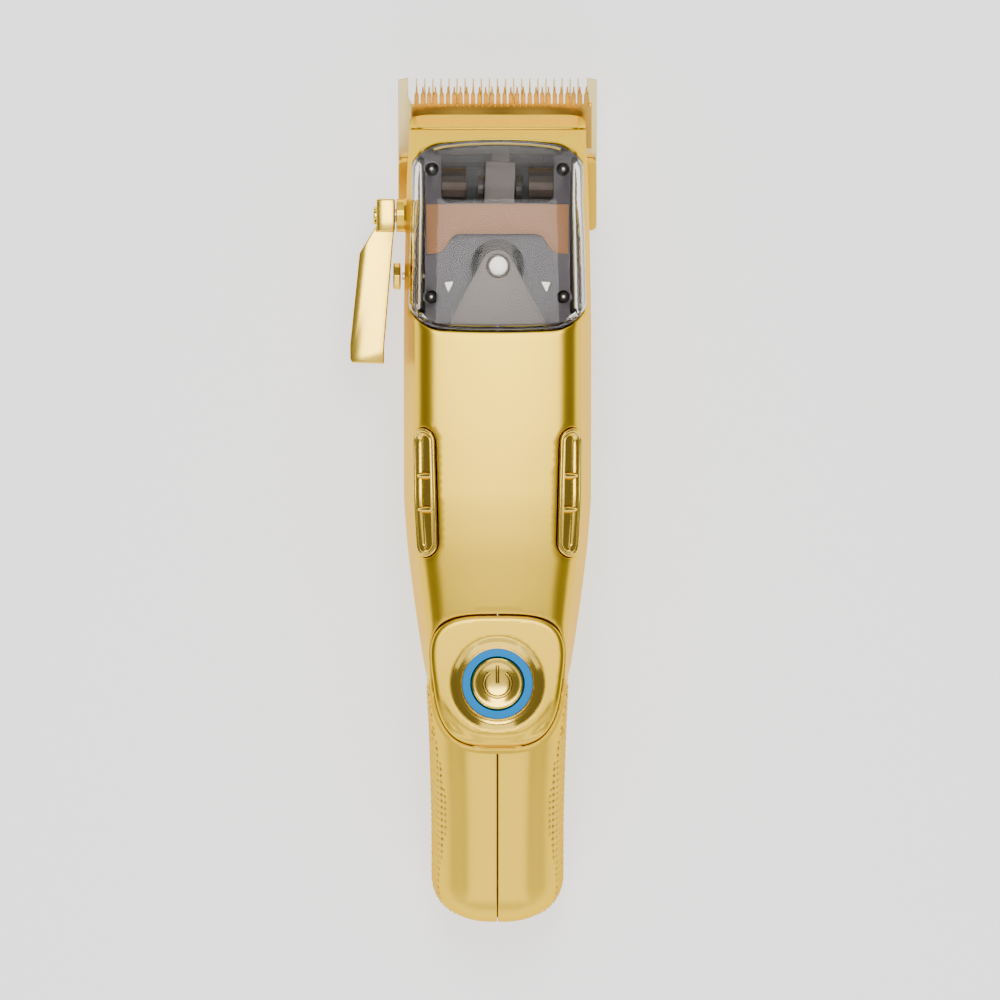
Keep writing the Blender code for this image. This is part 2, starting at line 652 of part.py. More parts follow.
def casing(inner, bay, handle):
    """Two lower halves, each with a grip let into its side."""
    above = upper_region("above_parting", -GAP / 2)
    sole = box("sole_opening", (-9 - GAP, -13 - GAP, -3), (9 + GAP, 5 + GAP, 3))
    well = prism("pod_well", pod_outline(GAP), POD_BOTTOM_Z - 6, 80, "Z")
    ahead = box("ahead_of_seam", (-40, NOSE_SEAM_Y - GAP, -5), (40, 60, 80))
    port = box("port_room", (-5.8, -4.0, -2.9), (5.8, 8.0, 2.9), parent=handle)
    grip_out = body_solid("grip_surface", 0.25, 10)
    grip_in = body_solid("grip_floor", -0.9, 10)
    pocket_in = body_solid("pocket_floor", -1.2, 10)
    for side, word in ((-1, "left"), (1, "right")):
        low, high = sorted((side * GAP / 2, side * 40))
        near, far = sorted((side * 0.6, side * 40))
        half = body_solid("body_half_" + word, 0.0, NOSE_Y, "satin_gold")
        keep(half, box("half_room_" + word, (low, -200, -20), (high, 60, 80)))
        pocket = prism("pocket_" + word, grip_outline(GAP), near - GAP, far + GAP, "X")
        cut(pocket, pocket_in)
        cut(half, inner, above, bay, ahead, sole, well, pocket, port)
        grip = prism("grip_panel_" + word, grip_outline(0.0), near, far, "X", "grip_gold")
        keep(grip, grip_out)
        cut(grip, grip_in, port)
        contact_hole = contact_room(handle, side)
        cut(half, contact_hole)
        cut(grip, contact_hole)
        if side < 0:
            cut(half, rod("bushing_hole", 4.3, -30, -15, (0, *LEVER_AXIS), "X"),
                rod("stud_hole", 1.2, -30, -15, (0, *KNOB_AT), "X"),
                box("ear_room", (-18.2, 8.4, 0), (-10, 17.0, LEVER_AXIS[1] + 1.5)))


def contact_room(handle, side):
    radius = CONTACT_RADIUS + GAP
    return rod("contact_hole_%d" % side, radius, -2, 12, (CONTACT_X * side, 0, 0), "Y", 14, parent=handle)


def pod_outline(grow, steps=22):
    """The pod's outline in plan, grown by a clearance."""
    middle, half = (POD_Y[0] + POD_Y[1]) / 2, (POD_Y[1] - POD_Y[0]) / 2 + grow
    side = []
    for k in range(steps + 1):
        y = middle + half * cos(pi * k / steps)
        side.append((pod_half_width(y, grow), y))
    return side[:-1] + [(-x, y) for x, y in reversed(side[1:])]


def window_outline(grow):
    half = WINDOW_HALF_WIDTH + grow
    return rounded(-half, WINDOW_Y[0] - grow, half, WINDOW_Y[1] + grow, WINDOW_CORNER + grow, 6)


def window_prism(name, grow, look=None):
    """The window's plan, bounded below by a line that drops towards the nose."""
    (y0, z0), (y1, z1) = WINDOW_SIDE
    sides = [(-40, z0 - grow), (y0, z0 - grow), (y1, z1 - grow), (60, z1 - grow), (60, 70), (-40, 70)]
    plan = prism(name, window_outline(grow), 20, 60, "Z", look)
    return keep(plan, prism(name + "_sides", sides, -40, 40, "X"))


def top_cover(inner, handle_surface):
    cover = cover_solid("top_cover", 0.0, NOSE_Y, look="satin_gold")
    window = window_prism("window_opening", GAP)
    pod_hole = prism("pod_opening", pod_outline(GAP), 20, 80, "Z")
    keep(cover, box("cover_room", (-40, -120, -5), (40, NOSE_SEAM_Y - GAP, 80)))
    low, front_low = PARTING_Z + GAP / 2, PARTING_FRONT[1] + GAP / 2
    outline = [(-120, low), (PARTING_FRONT[0], low), (NOSE_SEAM_Y - GAP / 2, front_low), (60, front_low),
               (60, -20), (-120, -20)]
    keep(handle_surface, box("shoulder_room", (-40, -200, -20), (40, SHOULDER_Y + GAP, 80)))
    cut(cover, inner, prism("below_parting", outline, -45, 45, "X"), handle_surface, window, pod_hole)
    for side, word in ((-1, "left"), (1, "right")):
        cut(cover, trim_prism("trim_hole_" + word, side, GAP, -6, 6))
    return cover


def nose_cap(bay):
    cap = cover_solid("nose_cap", 0.0, NOSE_Y, NOSE_SEAM_Y, "satin_gold")
    cut(cap, cover_solid("nose_hollow", -1.3, NOSE_Y - 1.3, NOSE_SEAM_Y - 3), bay)
    return cap


def trim_prism(name, side, grow, low, high, ends=None, width=None, look=None):
    """Capsule outline standing on the casing's rounded corner; ends are measured from its middle."""
    (x0, y0), (x1, y1) = TRIM_ENDS
    middle = (y0 + y1) / 2
    reach = (y0 - y1 - TRIM_WIDTH) / 2
    start, stop = ends or (reach, -reach)
    half = (width or TRIM_WIDTH / cos(radians(TRIM_TILT))) / 2 + grow
    outline = rounded(-half, stop - grow, half, start + grow, min(half, (start - stop) / 2 + grow) - 0.01, 4)
    top = between(BARREL, middle)[1]
    frame = axis_empty(name + "_frame", (side * (x0 + x1) / 2, middle, top - 0.3))
    frame.rotation_mode = "ZYX"
    frame.rotation_euler = (0, radians(TRIM_TILT * side), (x0 - x1) / (y0 - y1) * -side)
    return prism(name, outline, low, high, "Z", look, frame)


def side_trims():
    """Bezels with two cross-bars, over a plain insert, let through the cover's corners."""
    rim_in = cover_solid("rim_floor", -1.2, -30, -70)
    pad_out = cover_solid("pad_surface", -1.5, -30, -70)
    pad_in = cover_solid("pad_floor", -2.6, -30, -70)
    rim_out = cover_solid("rim_surface", 0.5, -28, -72)
    middle = (TRIM_ENDS[0][1] + TRIM_ENDS[1][1]) / 2
    top, bottom = TRIM_ENDS[0][1] - middle + 1.6, TRIM_ENDS[1][1] - middle - 1.6
    bars = [bar - middle for bar in TRIM_BARS]
    openings = ((bars[0] + 0.5, top), (bars[1] + 0.5, bars[0] - 0.5), (bottom, bars[1] - 0.5))
    for side, word in ((-1, "left"), (1, "right")):
        trim = trim_prism("side_trim_" + word, side, 0.0, -6, 6, look="polished_gold")
        keep(trim, rim_out)
        cut(trim, rim_in)
        for k, (low, high) in enumerate(openings):
            cut(trim, trim_prism("trim_window_%s_%d" % (word, k), side, 0.0, -7, 7, (high, low), 3.4))
        insert = trim_prism("side_insert_" + word, side, 0.0, -6, 6, look="polished_gold")
        keep(insert, pad_out)
        cut(insert, pad_in)


def window_parts():
    lid = window_prism("window_lid", 0.0, "smoked_clear")
    keep(lid, cover_solid("lid_outside", LID_PROUD, 32, -18))
    cut(lid, cover_solid("lid_inside", LID_PROUD - LID_THICKNESS, 33, -19))
    under = [(y, z - INNER_COVER_THICKNESS) for y, z in reversed(INNER_COVER_TOP)]
    half = INNER_COVER_HALF_WIDTH
    plate = prism("inner_cover", list(INNER_COVER_TOP) + under, -half, half, "X", "dark_plastic")
    cut(plate, prism("inner_cover_opening", rounded(-12.5, 14.0, 12.5, 40.0, 2.0), 20, 60, "Z"),
        rod("inner_cover_bore", 6.0, 20, 60, steps=20))
    for row, (x, y) in LID_SCREWS.items():
        front = row == "front"
        surface = between(BARREL, y)[1] - (0.6 if front else 0.0)
        boss_low, boss_high = (-7.0, -5.0) if front else (-6.4, -3.4)
        for side, word in ((-1, "left"), (1, "right")):
            name = "%s_%s" % (row, word)
            at = (x * side, y, surface)
            join(plate, rod("boss_" + name, 1.9, boss_low, boss_high, at, steps=14))
            cut(plate, rod("boss_bore_" + name, 1.15, -14, 6, at, steps=12))
            cut(lid, rod("lid_bore_" + name, LID_SCREW_RADIUS + 0.3, -9, 9, at, steps=16))
            head = LID_SCREW_RADIUS
            profile = [(0, -6.5), (0.9, -6.5), (0.9, -1.9), (head, -1.9), (head, -0.5), (1.2, -0.3), (0, -0.3)]
            cut(turned("lid_screw_" + name, profile, at, steps=16, look="steel"),
                box("screw_drive_" + name, (at[0] - 0.9, y - 0.25, surface - 0.8),
                    (at[0] + 0.9, y + 0.25, surface + 1)))


def window_plates():
    """Decorative plates that show through the window."""
    low, high = 40.0, 40.8
    half, notch = 15.8, 9.2
    bridge = [(half, 13.7), (-half, 13.7), (-half, 2.7), (-13.5, 2.7), (-11.8, 5.4), (-notch, 6.8),
              (notch, 6.8),
              (11.8, 5.4), (13.5, 2.7), (half, 2.7)]
    prism("bridge_plate", bridge, low - 0.7, high - 0.7, "Z", "bronze")
    chip = [(-10.8, -12.6), (10.8, -12.6), (10.8, -11.0), (3.6, 2.2), (2.2, 3.4), (0.0, 3.8), (-2.2, 3.4),
            (-3.6, 2.2), (-10.8, -11.0)]
    cut(prism("chip_plate", chip, low, high, "Z", "blasted_steel"),
        rod("cap_hole", 2.7, 30, 60, (0.2, 0, 0), steps=20))
    rod("pivot_cap", 2.4, 39.0, 41.5, (0.2, 0, 0), steps=20, look="steel", chamfer=0.2)
    rod("pivot_pin", PIVOT_RADIUS, 12.5, 36.0, steps=16, look="steel", chamfer=0.2)


# ---- pod and switch ---------------------------------------------------------
def button_pod():
    bevel = 0.9
    bm = bmesh.new()
    rings = ((0.0, POD_BOTTOM_Z), (0.0, POD_TOP_Z - bevel), (-0.3 * bevel, POD_TOP_Z - 0.3 * bevel),
             (-bevel, POD_TOP_Z))
    loops = [[bm.verts.new((x, y, z)) for x, y in pod_outline(grow)] for grow, z in rings]
    for loop, following in zip(loops, loops[1:]):
        for k in range(len(loop)):
            j = (k + 1) % len(loop)
            bm.faces.new((loop[k], loop[j], following[j], following[k]))
    bm.faces.new(loops[0])
    bm.faces.new(loops[-1])
    pod = to_object(bm, "button_pod", "satin_gold")
    hollow = prism("pod_hollow", pod_outline(-POD_WALL), POD_BOTTOM_Z - 4, POD_TOP_Z - POD_WALL, "Z")
    cut(pod, hollow, rod("pod_hole", DISH_RADII[1] + 0.2, 30, 60, (0, BUTTON_Y, 0), steps=36))
    return pod


def button_stack(axis):
    """Dish, light ring and button above the switch; the moving pieces hang on the button's axis."""
    at = (0, BUTTON_Y, 0)
    top = POD_TOP_Z
    rim, led_top = top - 0.1, top - 1.6
    inner, outer = DISH_RADII
    turned("button_dish", [(inner, top - 4.2), (outer, top - 4.2), (outer, rim), (outer - 0.4, rim),
                           (inner, led_top + 0.3)], at, steps=36, look="satin_gold")
    tube("led_ring", *LED_RADII, top - 4.0, led_top, at, steps=36, look="light_blue")
    radius = BUTTON_RADIUS
    button = [(0, top - 4.6), (radius - 0.7, top - 4.6), (radius, top - 4.0), (radius, top - 1.5),
              (radius - 0.5, top - 1.1), (radius - 1.3, top - 1.1), (2.2, top - 1.7), (0, top - 1.9)]
    turned("power_button", button, steps=28, look="polished_gold", parent=axis)
    board_top = top - 9.6
    rod("switch_board", outer - 0.2, board_top - 1.4, board_top, at, steps=20, look="board")
    switch = box("tact_switch", (-3, BUTTON_Y - 3, board_top + GAP), (3, BUTTON_Y + 3, board_top + 3.0),
                 "dark_plastic")
    cut(switch, rod("plunger_bore", 1.8, board_top + 1.2, board_top + 8, at))
    rod("switch_plunger", 1.5, board_top + 2.1, top - 4.6 - GAP, steps=14, look="dark_plastic", parent=axis)


# ---- battery and boards -----------------------------------------------------
def battery():
    y0, y1 = BATTERY_Y
    rod("battery_cell", BATTERY_RADIUS, y0, y1, (0, 0, BATTERY_Z), "Y", 24, "cell", chamfer=0.5)
    inner, outer = BATTERY_RADIUS + GAP, BATTERY_RADIUS + 1.7
    cradle = tube("battery_cradle", inner, outer, y0 + 3, y1 - 1, (0, 0, BATTERY_Z), "Y", 24, "dark_plastic")
    cut(cradle, box("cradle_opening", (-20, -100, BATTERY_Z - 1.0), (20, 0, 60)))
    board = BATTERY_Z + BATTERY_RADIUS + BOARD_GAP
    box("control_board", (-8.5, -70.0, board), (8.5, -22.0, board + BOARD_THICKNESS), "board")


def charging(handle):
    width, height = PORT
    socket = box("charge_socket", (-5.5, 0.6, -2.6), (5.5, 7.6, 2.6), "dark_plastic", handle)
    cut(socket, prism("port_slot", rounded(-height / 2, -width / 2, height / 2, width / 2, height / 2 - 0.05),
                      -3.0, 5.6, "Y", parent=handle))
    box("charge_board", (-8.5, 8.4, -1.6), (8.5, 38.0, 0.0), "board", handle)
    for side, word in ((-1, "left"), (1, "right")):
        at = (CONTACT_X * side, 0, 0)
        rod("charge_contact_" + word, CONTACT_RADIUS, 1.9, 7.0, at, "Y", 14, "polished_gold", handle)


# ---- taper lever ------------------------------------------------------------
def lever(axis):
    """Arm, shaft with its eccentric pin and cap screw, drawn about the lever's axis."""
    y, z = LEVER_AXIS
    x0, x1 = HUB_X
    hub = rounded(-3.7, -4.0, 3.7, 4.0, 0.8, 2)
    arm = prism("lever_arm", hub, x0, x1, "X", "polished_gold", axis)
    plan = [(x0, -3.7), (-23.0, -3.7), (-23.2, -5.3), (-25.2, -29.4), (-25.2, -33.0), (-32.4, -32.8),
            (-32.8, -31.8),
            (-32.8, -28.7), (-30.7, -8.4), (x0 + 0.2, -2.0)]
    blade = prism("lever_blade", plan, -1.2, 3.6, "Z", parent=axis)
    drop = [(-29.4, 4.0), (-40.0, -1.0), (-40.0, 6.0), (-29.4, 6.0)]
    slope = prism("lever_slope", drop, -40, -20, "X", parent=axis)
    cut(blade, slope)
    join(arm, blade)
    cut(arm, rod("lever_bore", 1.8, -40, -10, axis="X", parent=axis))
    shaft = rod("lever_shaft", 2.2, -22.5, -18.0, (0, 0, 0), "X", 16, "steel", axis)
    join(shaft, rod("shaft_stub", 1.5, x0 + 1.0, -22.0, axis="X", parent=axis),
         rod("shaft_web", 4.0, -18.8, -17.6, axis="X", parent=axis),
         rod("shaft_pin", 1.5, -18.0, -15.2, (0, 0, -LEVER_CRANK), "X", parent=axis))
    cap = [(0, x0 - 0.7), (1.8, x0 - 0.7), (2.0, x0 - 0.5), (2.0, x0 - GAP), (1.3, x0 - GAP), (1.3, x0 + 0.6),
           (0, x0 + 0.6)]
    turned("lever_screw", cap, axis="X", steps=16, look="polished_gold", parent=axis)
    profile = [(2.5, -19.1), (4.0, -19.1), (4.0, -20.2), (3.7, -20.8), (3.7, -22.5), (2.5, -22.5)]
    turned("lever_bushing", profile, (0, y, z), "X", 20, "satin_gold")


def detent(axis):
    rod("detent_knob", 3.0, -23.2, -21.5, axis="X", steps=8, look="polished_gold", parent=axis, chamfer=0.3)
    rod("detent_stud", 0.9, -21.2, -17.0, axis="X", steps=10, look="steel", parent=axis)


def build():
    lean = (CARRIAGE_THICKNESS + GAP) * sin(radians(BLADE_ANGLE))
    bay = bay_cutter("blade_bay", CARRIAGE_THICKNESS + 2 * GAP, CARRIAGE_REAR_Y - lean - GAP)
    handle = handle_frame()
    inner = body_solid("casing_hollow", -WALL, NOSE_Y + 3)
    casing(inner, bay, handle)
    cover_hollow = cover_solid("cover_hollow", -WALL, NOSE_Y + 3)
    top_cover(cover_hollow, body_solid("handle_clearance", GAP, BEND_Y + 2))
    nose_cap(bay)
    window_parts()
    window_plates()
    side_trims()
    button_pod()
    button_stack(axis_empty("button_axis", (0, BUTTON_Y, 0)))
    battery()
    charging(handle)
    motor_frame()
    for side, word in ((-1, "left"), (1, "right")):
        motor_sides(side, word)
    drive_arm(axis_empty("arm_axis", (0, 0, 0), turn=ARM_SWING))
    tension_spring()
    blade_frame = axis_empty("blade_frame", (0, *BLADE_TIP), tilt=BLADE_ANGLE)
    fixed_blade(blade_frame)
    cutter_blade(blade_frame)
    blade_carriage(blade_frame)
    lever(axis_empty("lever_axis", (0, *LEVER_AXIS)))
    detent(axis_empty("detent_axis", (0, *KNOB_AT)))


for old in list(bpy.data.objects):
    bpy.data.objects.remove(old, do_unlink=True)
build()
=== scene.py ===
# %% [markdown]
# # A cordless hair clipper with a gold casing
# This lesson dresses a packed mechanical model. The frame holds every solid at its real place.
# Each visible piece is remade here as a finer one, rides on the same body, and stands for its solid.

# %% Load the frame
import bmesh
import bpy
import math
import numpy as np
from mathutils import Matrix, Vector
from mathutils.geometry import delaunay_2d_cdt


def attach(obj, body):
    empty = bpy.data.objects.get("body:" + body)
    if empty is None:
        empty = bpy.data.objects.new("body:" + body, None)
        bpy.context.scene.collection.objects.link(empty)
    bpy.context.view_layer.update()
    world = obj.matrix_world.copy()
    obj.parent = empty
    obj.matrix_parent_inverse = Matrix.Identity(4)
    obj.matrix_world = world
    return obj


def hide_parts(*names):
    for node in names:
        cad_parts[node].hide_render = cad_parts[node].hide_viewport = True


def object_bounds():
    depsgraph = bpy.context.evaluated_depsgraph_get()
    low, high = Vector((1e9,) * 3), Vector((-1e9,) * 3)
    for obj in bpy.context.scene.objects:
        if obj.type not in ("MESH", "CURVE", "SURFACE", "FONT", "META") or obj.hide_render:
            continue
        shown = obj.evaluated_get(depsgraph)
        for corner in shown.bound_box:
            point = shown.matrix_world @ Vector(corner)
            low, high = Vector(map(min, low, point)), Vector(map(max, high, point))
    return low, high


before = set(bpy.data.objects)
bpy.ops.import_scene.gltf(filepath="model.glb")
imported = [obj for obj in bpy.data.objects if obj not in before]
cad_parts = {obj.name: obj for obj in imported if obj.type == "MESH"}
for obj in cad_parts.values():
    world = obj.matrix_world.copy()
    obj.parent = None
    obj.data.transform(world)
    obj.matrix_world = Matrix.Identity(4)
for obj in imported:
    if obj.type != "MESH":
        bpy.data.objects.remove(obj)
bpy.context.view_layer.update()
MM = 0.001

# %% [markdown]
# ## Finishes
# The casing is cast metal with a satin gold lacquer: a metal colour, a soft gloss and a very fine grain.
# A real coating is never flat, so each finish varies its roughness a little and has a bump of real grain size.


# %% Colour and node helpers
def colour(hex_value):
    """An sRGB hex colour as the linear colour a shader wants."""
    channels = [int(hex_value[i:i + 2], 16) / 255 for i in (1, 3, 5)]
    return [c / 12.92 if c <= 0.04045 else ((c + 0.055) / 1.055) ** 2.4 for c in channels] + [1.0]


def node(tree, kind, settings=None, **links):
    """Add a node, set its properties and default inputs, and link the sockets that are given."""
    made = tree.nodes.new(kind)
    for key, value in (settings or {}).items():
        if hasattr(made, key):
            setattr(made, key, value)
        else:
            made.inputs[key].default_value = value
    for socket, source in links.items():
        tree.links.new(source, made.inputs[socket.replace("_", " ")])
    return made


def material(name, hex_value, metallic, roughness, grain_mm=0.12, bump=0.02, spread=0.05, tint=0.04, **extra):
    """A surface with its own colour, whose gloss, tone and height vary at the scale of its grain."""
    made = bpy.data.materials.new(name)
    made.use_nodes = True
    tree = made.node_tree
    shader = tree.nodes["Principled BSDF"]
    shader.inputs["Metallic"].default_value = metallic
    for key, value in extra.items():
        shader.inputs[key.replace("_", " ")].default_value = value
    place = node(tree, "ShaderNodeTexCoord").outputs["Object"]
    grain = node(tree, "ShaderNodeTexNoise", {"Scale": 1.0 / (grain_mm * MM), "Detail": 3.0}, Vector=place)
    cloud = node(tree, "ShaderNodeTexNoise", {"Scale": 1.0 / (22 * MM), "Detail": 2.0}, Vector=place)
    gloss = node(tree, "ShaderNodeMapRange", {"To Min": roughness - spread, "To Max": roughness + spread},
                 Value=cloud.outputs["Fac"])
    tree.links.new(gloss.outputs["Result"], shader.inputs["Roughness"])
    base = colour(hex_value)
    ramp = node(tree, "ShaderNodeValToRGB", {}, Fac=cloud.outputs["Fac"])
    for stop, factor in zip(ramp.color_ramp.elements, (1 - tint, 1 + tint)):
        stop.color = [min(1.0, c * factor) for c in base[:3]] + [1.0]
    tree.links.new(ramp.outputs["Color"], shader.inputs["Base Color"])
    relief = node(tree, "ShaderNodeBump", {"Strength": bump, "Distance": 0.05 * MM}, Height=grain.outputs["Fac"])
    tree.links.new(relief.outputs["Normal"], shader.inputs["Normal"])
    return made


# %% The finishes of this clipper
# Satin gold lacquer over cast metal: warm, with a soft-edged reflection.
satin_gold = material("satin gold lacquer", "#e6bd30", 1.0, 0.33, 0.15, 0.05, 0.02, 0.02)
# The same gold, polished: it gives sharp reflections with dark lines.
polished_gold = material("polished gold plate", "#efc94f", 1.0, 0.17, 0.3, 0.01, 0.02, 0.02)
# Gold over the cast knurl of the grips, a little duller.
grip_gold = material("gold knurled grip", "#d8b040", 1.0, 0.33, 0.15, 0.08, 0.04, 0.02)
# Titanium-nitride coat on a ground blade: a deeper gold than the casing, and a paler one on the fixed blade.
blade_gold = material("coated blade steel", "#d0a544", 1.0, 0.28, 0.2, 0.05, 0.05)
pale_blade = material("pale ground blade steel", "#f7e3a0", 1.0, 0.32, 0.2, 0.06, 0.05)
# Clear polycarbonate with a grey smoke tint. Its index is set to 1.2, below the real 1.58: thin reflections
# leave the plates under it in view.
smoked = material("smoked polycarbonate", "#ebe9e6", 0.0, 0.03, 2.0, 0.0, 0.01, 0.01, IOR=1.2)
smoked.node_tree.nodes["Principled BSDF"].inputs["Transmission Weight"].default_value = 1.0
# Matt greys and black, which recede behind the window.
dark_plastic = material("dark moulded nylon", "#6f6a72", 0.0, 0.42, 0.25, 0.12, 0.06)
black_plastic = material("black moulded plastic", "#1c1b1d", 0.0, 0.38, 0.25, 0.10, 0.06)
# A dull rose-brown band, and a grey with a coarse sparkle.
bronze = material("bronze metallic paint", "#c98f62", 0.15, 0.42, 0.10, 0.15, 0.05)
blasted = material("bead-blasted steel", "#a09893", 0.35, 0.5, 0.18, 0.55, 0.06)
# Lid screws: each head is painted dark as the shade of its well, and has a small bright point that is a painted
# highlight.
well_shade_steel = material("steel painted with well shade", "#2c2927", 0.9, 0.28, 0.2, 0.05, 0.04)
# Steels: a dark one for the motor, its grey darkened further as painted shade for the dim inside under the window,
# and a bright one for pins and screws.
shade_darkened_steel = material("laminated steel darkened as painted shade", "#5d5856", 0.8, 0.45, 0.2, 0.1, 0.05)
steel = material("ground steel", "#b9b6b2", 1.0, 0.24, 0.2, 0.05, 0.05)
# Inner parts, seen dimly if at all. The coil wire is darkened to a grey-brown as painted shade.
shade_darkened_coil = material("enamelled coil wire darkened as painted shade", "#4b403a", 0.7, 0.40, 0.3, 0.30, 0.05)
board_green = material("solder-masked board", "#1f5b3d", 0.0, 0.35, 0.4, 0.05, 0.05)
cell_wrap = material("heat-shrunk cell sleeve", "#2b4f86", 0.0, 0.30, 0.5, 0.05, 0.05)
# A deep base and a little light of its own make an even, saturated blue.
glow = material("blue light guide", "#00427f", 0.0, 0.35, 0.5, 0.02, 0.02, 0.01)
glow.node_tree.nodes["Principled BSDF"].inputs["Emission Color"].default_value = colour("#00a0e8")
glow.node_tree.nodes["Principled BSDF"].inputs["Emission Strength"].default_value = 0.75
glow.node_tree.nodes["Principled BSDF"].inputs["Specular IOR Level"].default_value = 0.1
# A painted shade line round raised marks, standing for the crease at their foot.
painted_crease_shade = material("painted crease shade", "#4a3a20", 0.2, 0.45, 0.3, 0.05, 0.05)
# Gold keeps its hue at grazing angles, where most metals turn white.
for gold in (satin_gold, polished_gold, grip_gold, blade_gold):
    gold.node_tree.nodes["Principled BSDF"].inputs["Specular Tint"].default_value = colour("#f3e0a4")
print(len(bpy.data.materials), "finishes")

# %% [markdown]
# ## The casing's surface
# Every casing panel lies on one lofted surface: a crowned top, two sloping sides and a narrower bottom.
# A panel is drawn flat, as a pattern cutter would, in millimetres along and around that surface,
# and then wrapped on it. That keeps openings, lids and rims exactly on the same skin.

# %% Stations of the casing
SPINE_Z = 30.0
BEND_Y = -80.0
BEND_RADIUS = 60.0
HANDLE_ANGLE = math.radians(20.0)
HANDLE_LENGTH = 46.9
END_CAP = 10.3
END_POWER = 2.35
SHOULDER_Y = -92.0
COLLAR = 1.3
POD_Y = (-106.5, -77.5)
POD_POWER = 3.3
# Y, half-width, top, widest height, corner radius, side inset
BARREL = (
    (34.1, 19.7, 18.0, 15.0, 1.2, 1.2), (31.0, 19.85, 24.5, 19.5, 2.0, 1.7), (28.0, 19.95, 31.0, 23.5, 3.5, 2.4),
    (25.0, 20.1, 36.0, 26.0, 4.5, 3.0), (21.0, 20.25, 40.0, 26.0, 4.5, 3.0), (15.0, 20.4, 43.0, 26.0, 4.5, 3.0),
    (5.0, 20.7, 44.5, 26.0, 4.5, 3.0), (-15.0, 21.0, 45.5, 26.0, 4.5, 3.0), (-40.0, 21.0, 46.0, 26.0, 4.5, 3.0),
    (-50.0, 21.0, 46.0, 26.0, 4.5, 3.0), (-60.0, 20.4, 45.8, 26.0, 4.5, 3.0), (-70.0, 19.3, 45.3, 26.0, 4.5, 3.0),
    (-80.0, 17.9, 44.6, 26.0, 3.8, 2.8), (-87.5, 16.55, 43.6, 26.0, 2.2, 1.6), (-92.0, 15.8, 42.8, 26.0, 1.2, 0.9),
    (-100.0, 15.0, 41.4, 26.0, 1.0, 0.5), (-108.0, 14.0, 40.2, 26.0, 1.0, 0.5),
)
UNDERSIDE = ((34.1, 0.0), (-16.0, 0.0), (-30.0, 2.5), (-50.0, 8.0), (-70.0, 13.0), (-80.0, 15.0))
HANDLE = (
    (80.0, 17.9, 14.6, 15.0, -4.0), (86.0, 16.9, 12.6, 15.3, -3.0), (92.0, 16.0, 11.2, 15.4, -2.0),
    (97.0, 16.0, 11.3, 15.4, -1.2), (101.0, 15.95, 11.5, 15.3, -0.5), (111.0, 15.65, 11.8, 15.0, -0.5),
    (127.0, 15.3, 12.0, 14.5, -0.5), (148.0, 15.3, 12.1, 14.0, -0.5),
)
HANDLE_END = -BEND_Y + BEND_RADIUS * HANDLE_ANGLE + HANDLE_LENGTH


# %% Smooth values between stations
def between(table, at):
    rows = sorted(table)
    at = min(max(at, rows[0][0]), rows[-1][0])
    index = max(i for i in range(len(rows) - 1) if rows[i][0] <= at)
    before, after = rows[index], rows[index + 1]
    span = after[0] - before[0]
    t = (at - before[0]) / span
    values = []
    for column in range(1, len(before)):
        slopes = []
        for i in (index, index + 1):
            left = rows[max(i - 1, 0):i + 1]
            right = rows[i:i + 2]
            rises = [(run[-1][column] - run[0][column]) / max(run[-1][0] - run[0][0], 1e-9) for run in (left, right)]
            product = rises[0] * rises[1]
            slopes.append(2 * product / (rises[0] + rises[1]) * span if product > 0 else 0.0)
        values.append((2 * t ** 3 - 3 * t ** 2 + 1) * before[column] + (t ** 3 - 2 * t ** 2 + t) * slopes[0]
                      + (3 * t ** 2 - 2 * t ** 3) * after[column] + (t ** 3 - t ** 2) * slopes[1])
    return values


# %% One half-section of the casing
def edge_line(a, b):
    dx, dy = b[0] - a[0], b[1] - a[1]
    length = math.hypot(dx, dy)
    return (-dy / length, dx / length, (-dy * a[0] + dx * a[1]) / length)


def crossing(p, q):
    det = p[0] * q[1] - q[0] * p[1]
    return ((p[2] * q[1] - q[2] * p[1]) / det, (p[0] * q[2] - q[0] * p[2]) / det)


def half_section(width, top, bottom, widest, corner, inset, crown=0.8):
    """Points from the middle of the top, round the side, to the middle of the bottom."""
    narrow = min(1.0, width / 12.0)
    corners = [(0.0, top), (width - inset * narrow, top), (width, widest), (0.72 * width, bottom), (0.0, bottom)]
    lines = [edge_line(a, b) for a, b in zip(corners, corners[1:])]
    points = []
    for before, after, radius in zip(lines, lines[1:], (corner * narrow, 1.8 * corner * narrow, 6.5 * narrow)):
        at = crossing(before, after)
        start, stop = math.atan2(before[1], before[0]), math.atan2(after[1], after[0])
        swing = (start - stop) % (2 * math.pi)
        back = radius / math.cos(swing / 2)
        middle = start - swing / 2
        cx, cy = at[0] - back * math.cos(middle), at[1] - back * math.sin(middle)
        for k in range(13):
            angle = start - swing * k / 12
            points.append((cx + radius * math.cos(angle), cy + radius * math.sin(angle)))
    flat = [(points[0][0] * k / 12, top) for k in range(12)]
    reach = corners[1][0]
    crowned = [(x, y + crown * narrow * max(0.0, 1 - (x / reach) ** 2)) for x, y in flat + points[:13]]
    return crowned + points[13:] + [(0.0, bottom)]


# %% Rings of the lower casing and of the top cover
def spine(place):
    bend, arc = -BEND_Y, BEND_RADIUS * HANDLE_ANGLE
    turn = min(max(place - bend, 0.0), arc) / BEND_RADIUS
    y, z = BEND_Y - BEND_RADIUS * math.sin(turn), SPINE_Z - BEND_RADIUS * (1 - math.cos(turn))
    run = place - bend if place < bend else max(0.0, place - bend - arc)
    return y - run * math.cos(turn), z - run * math.sin(turn), turn


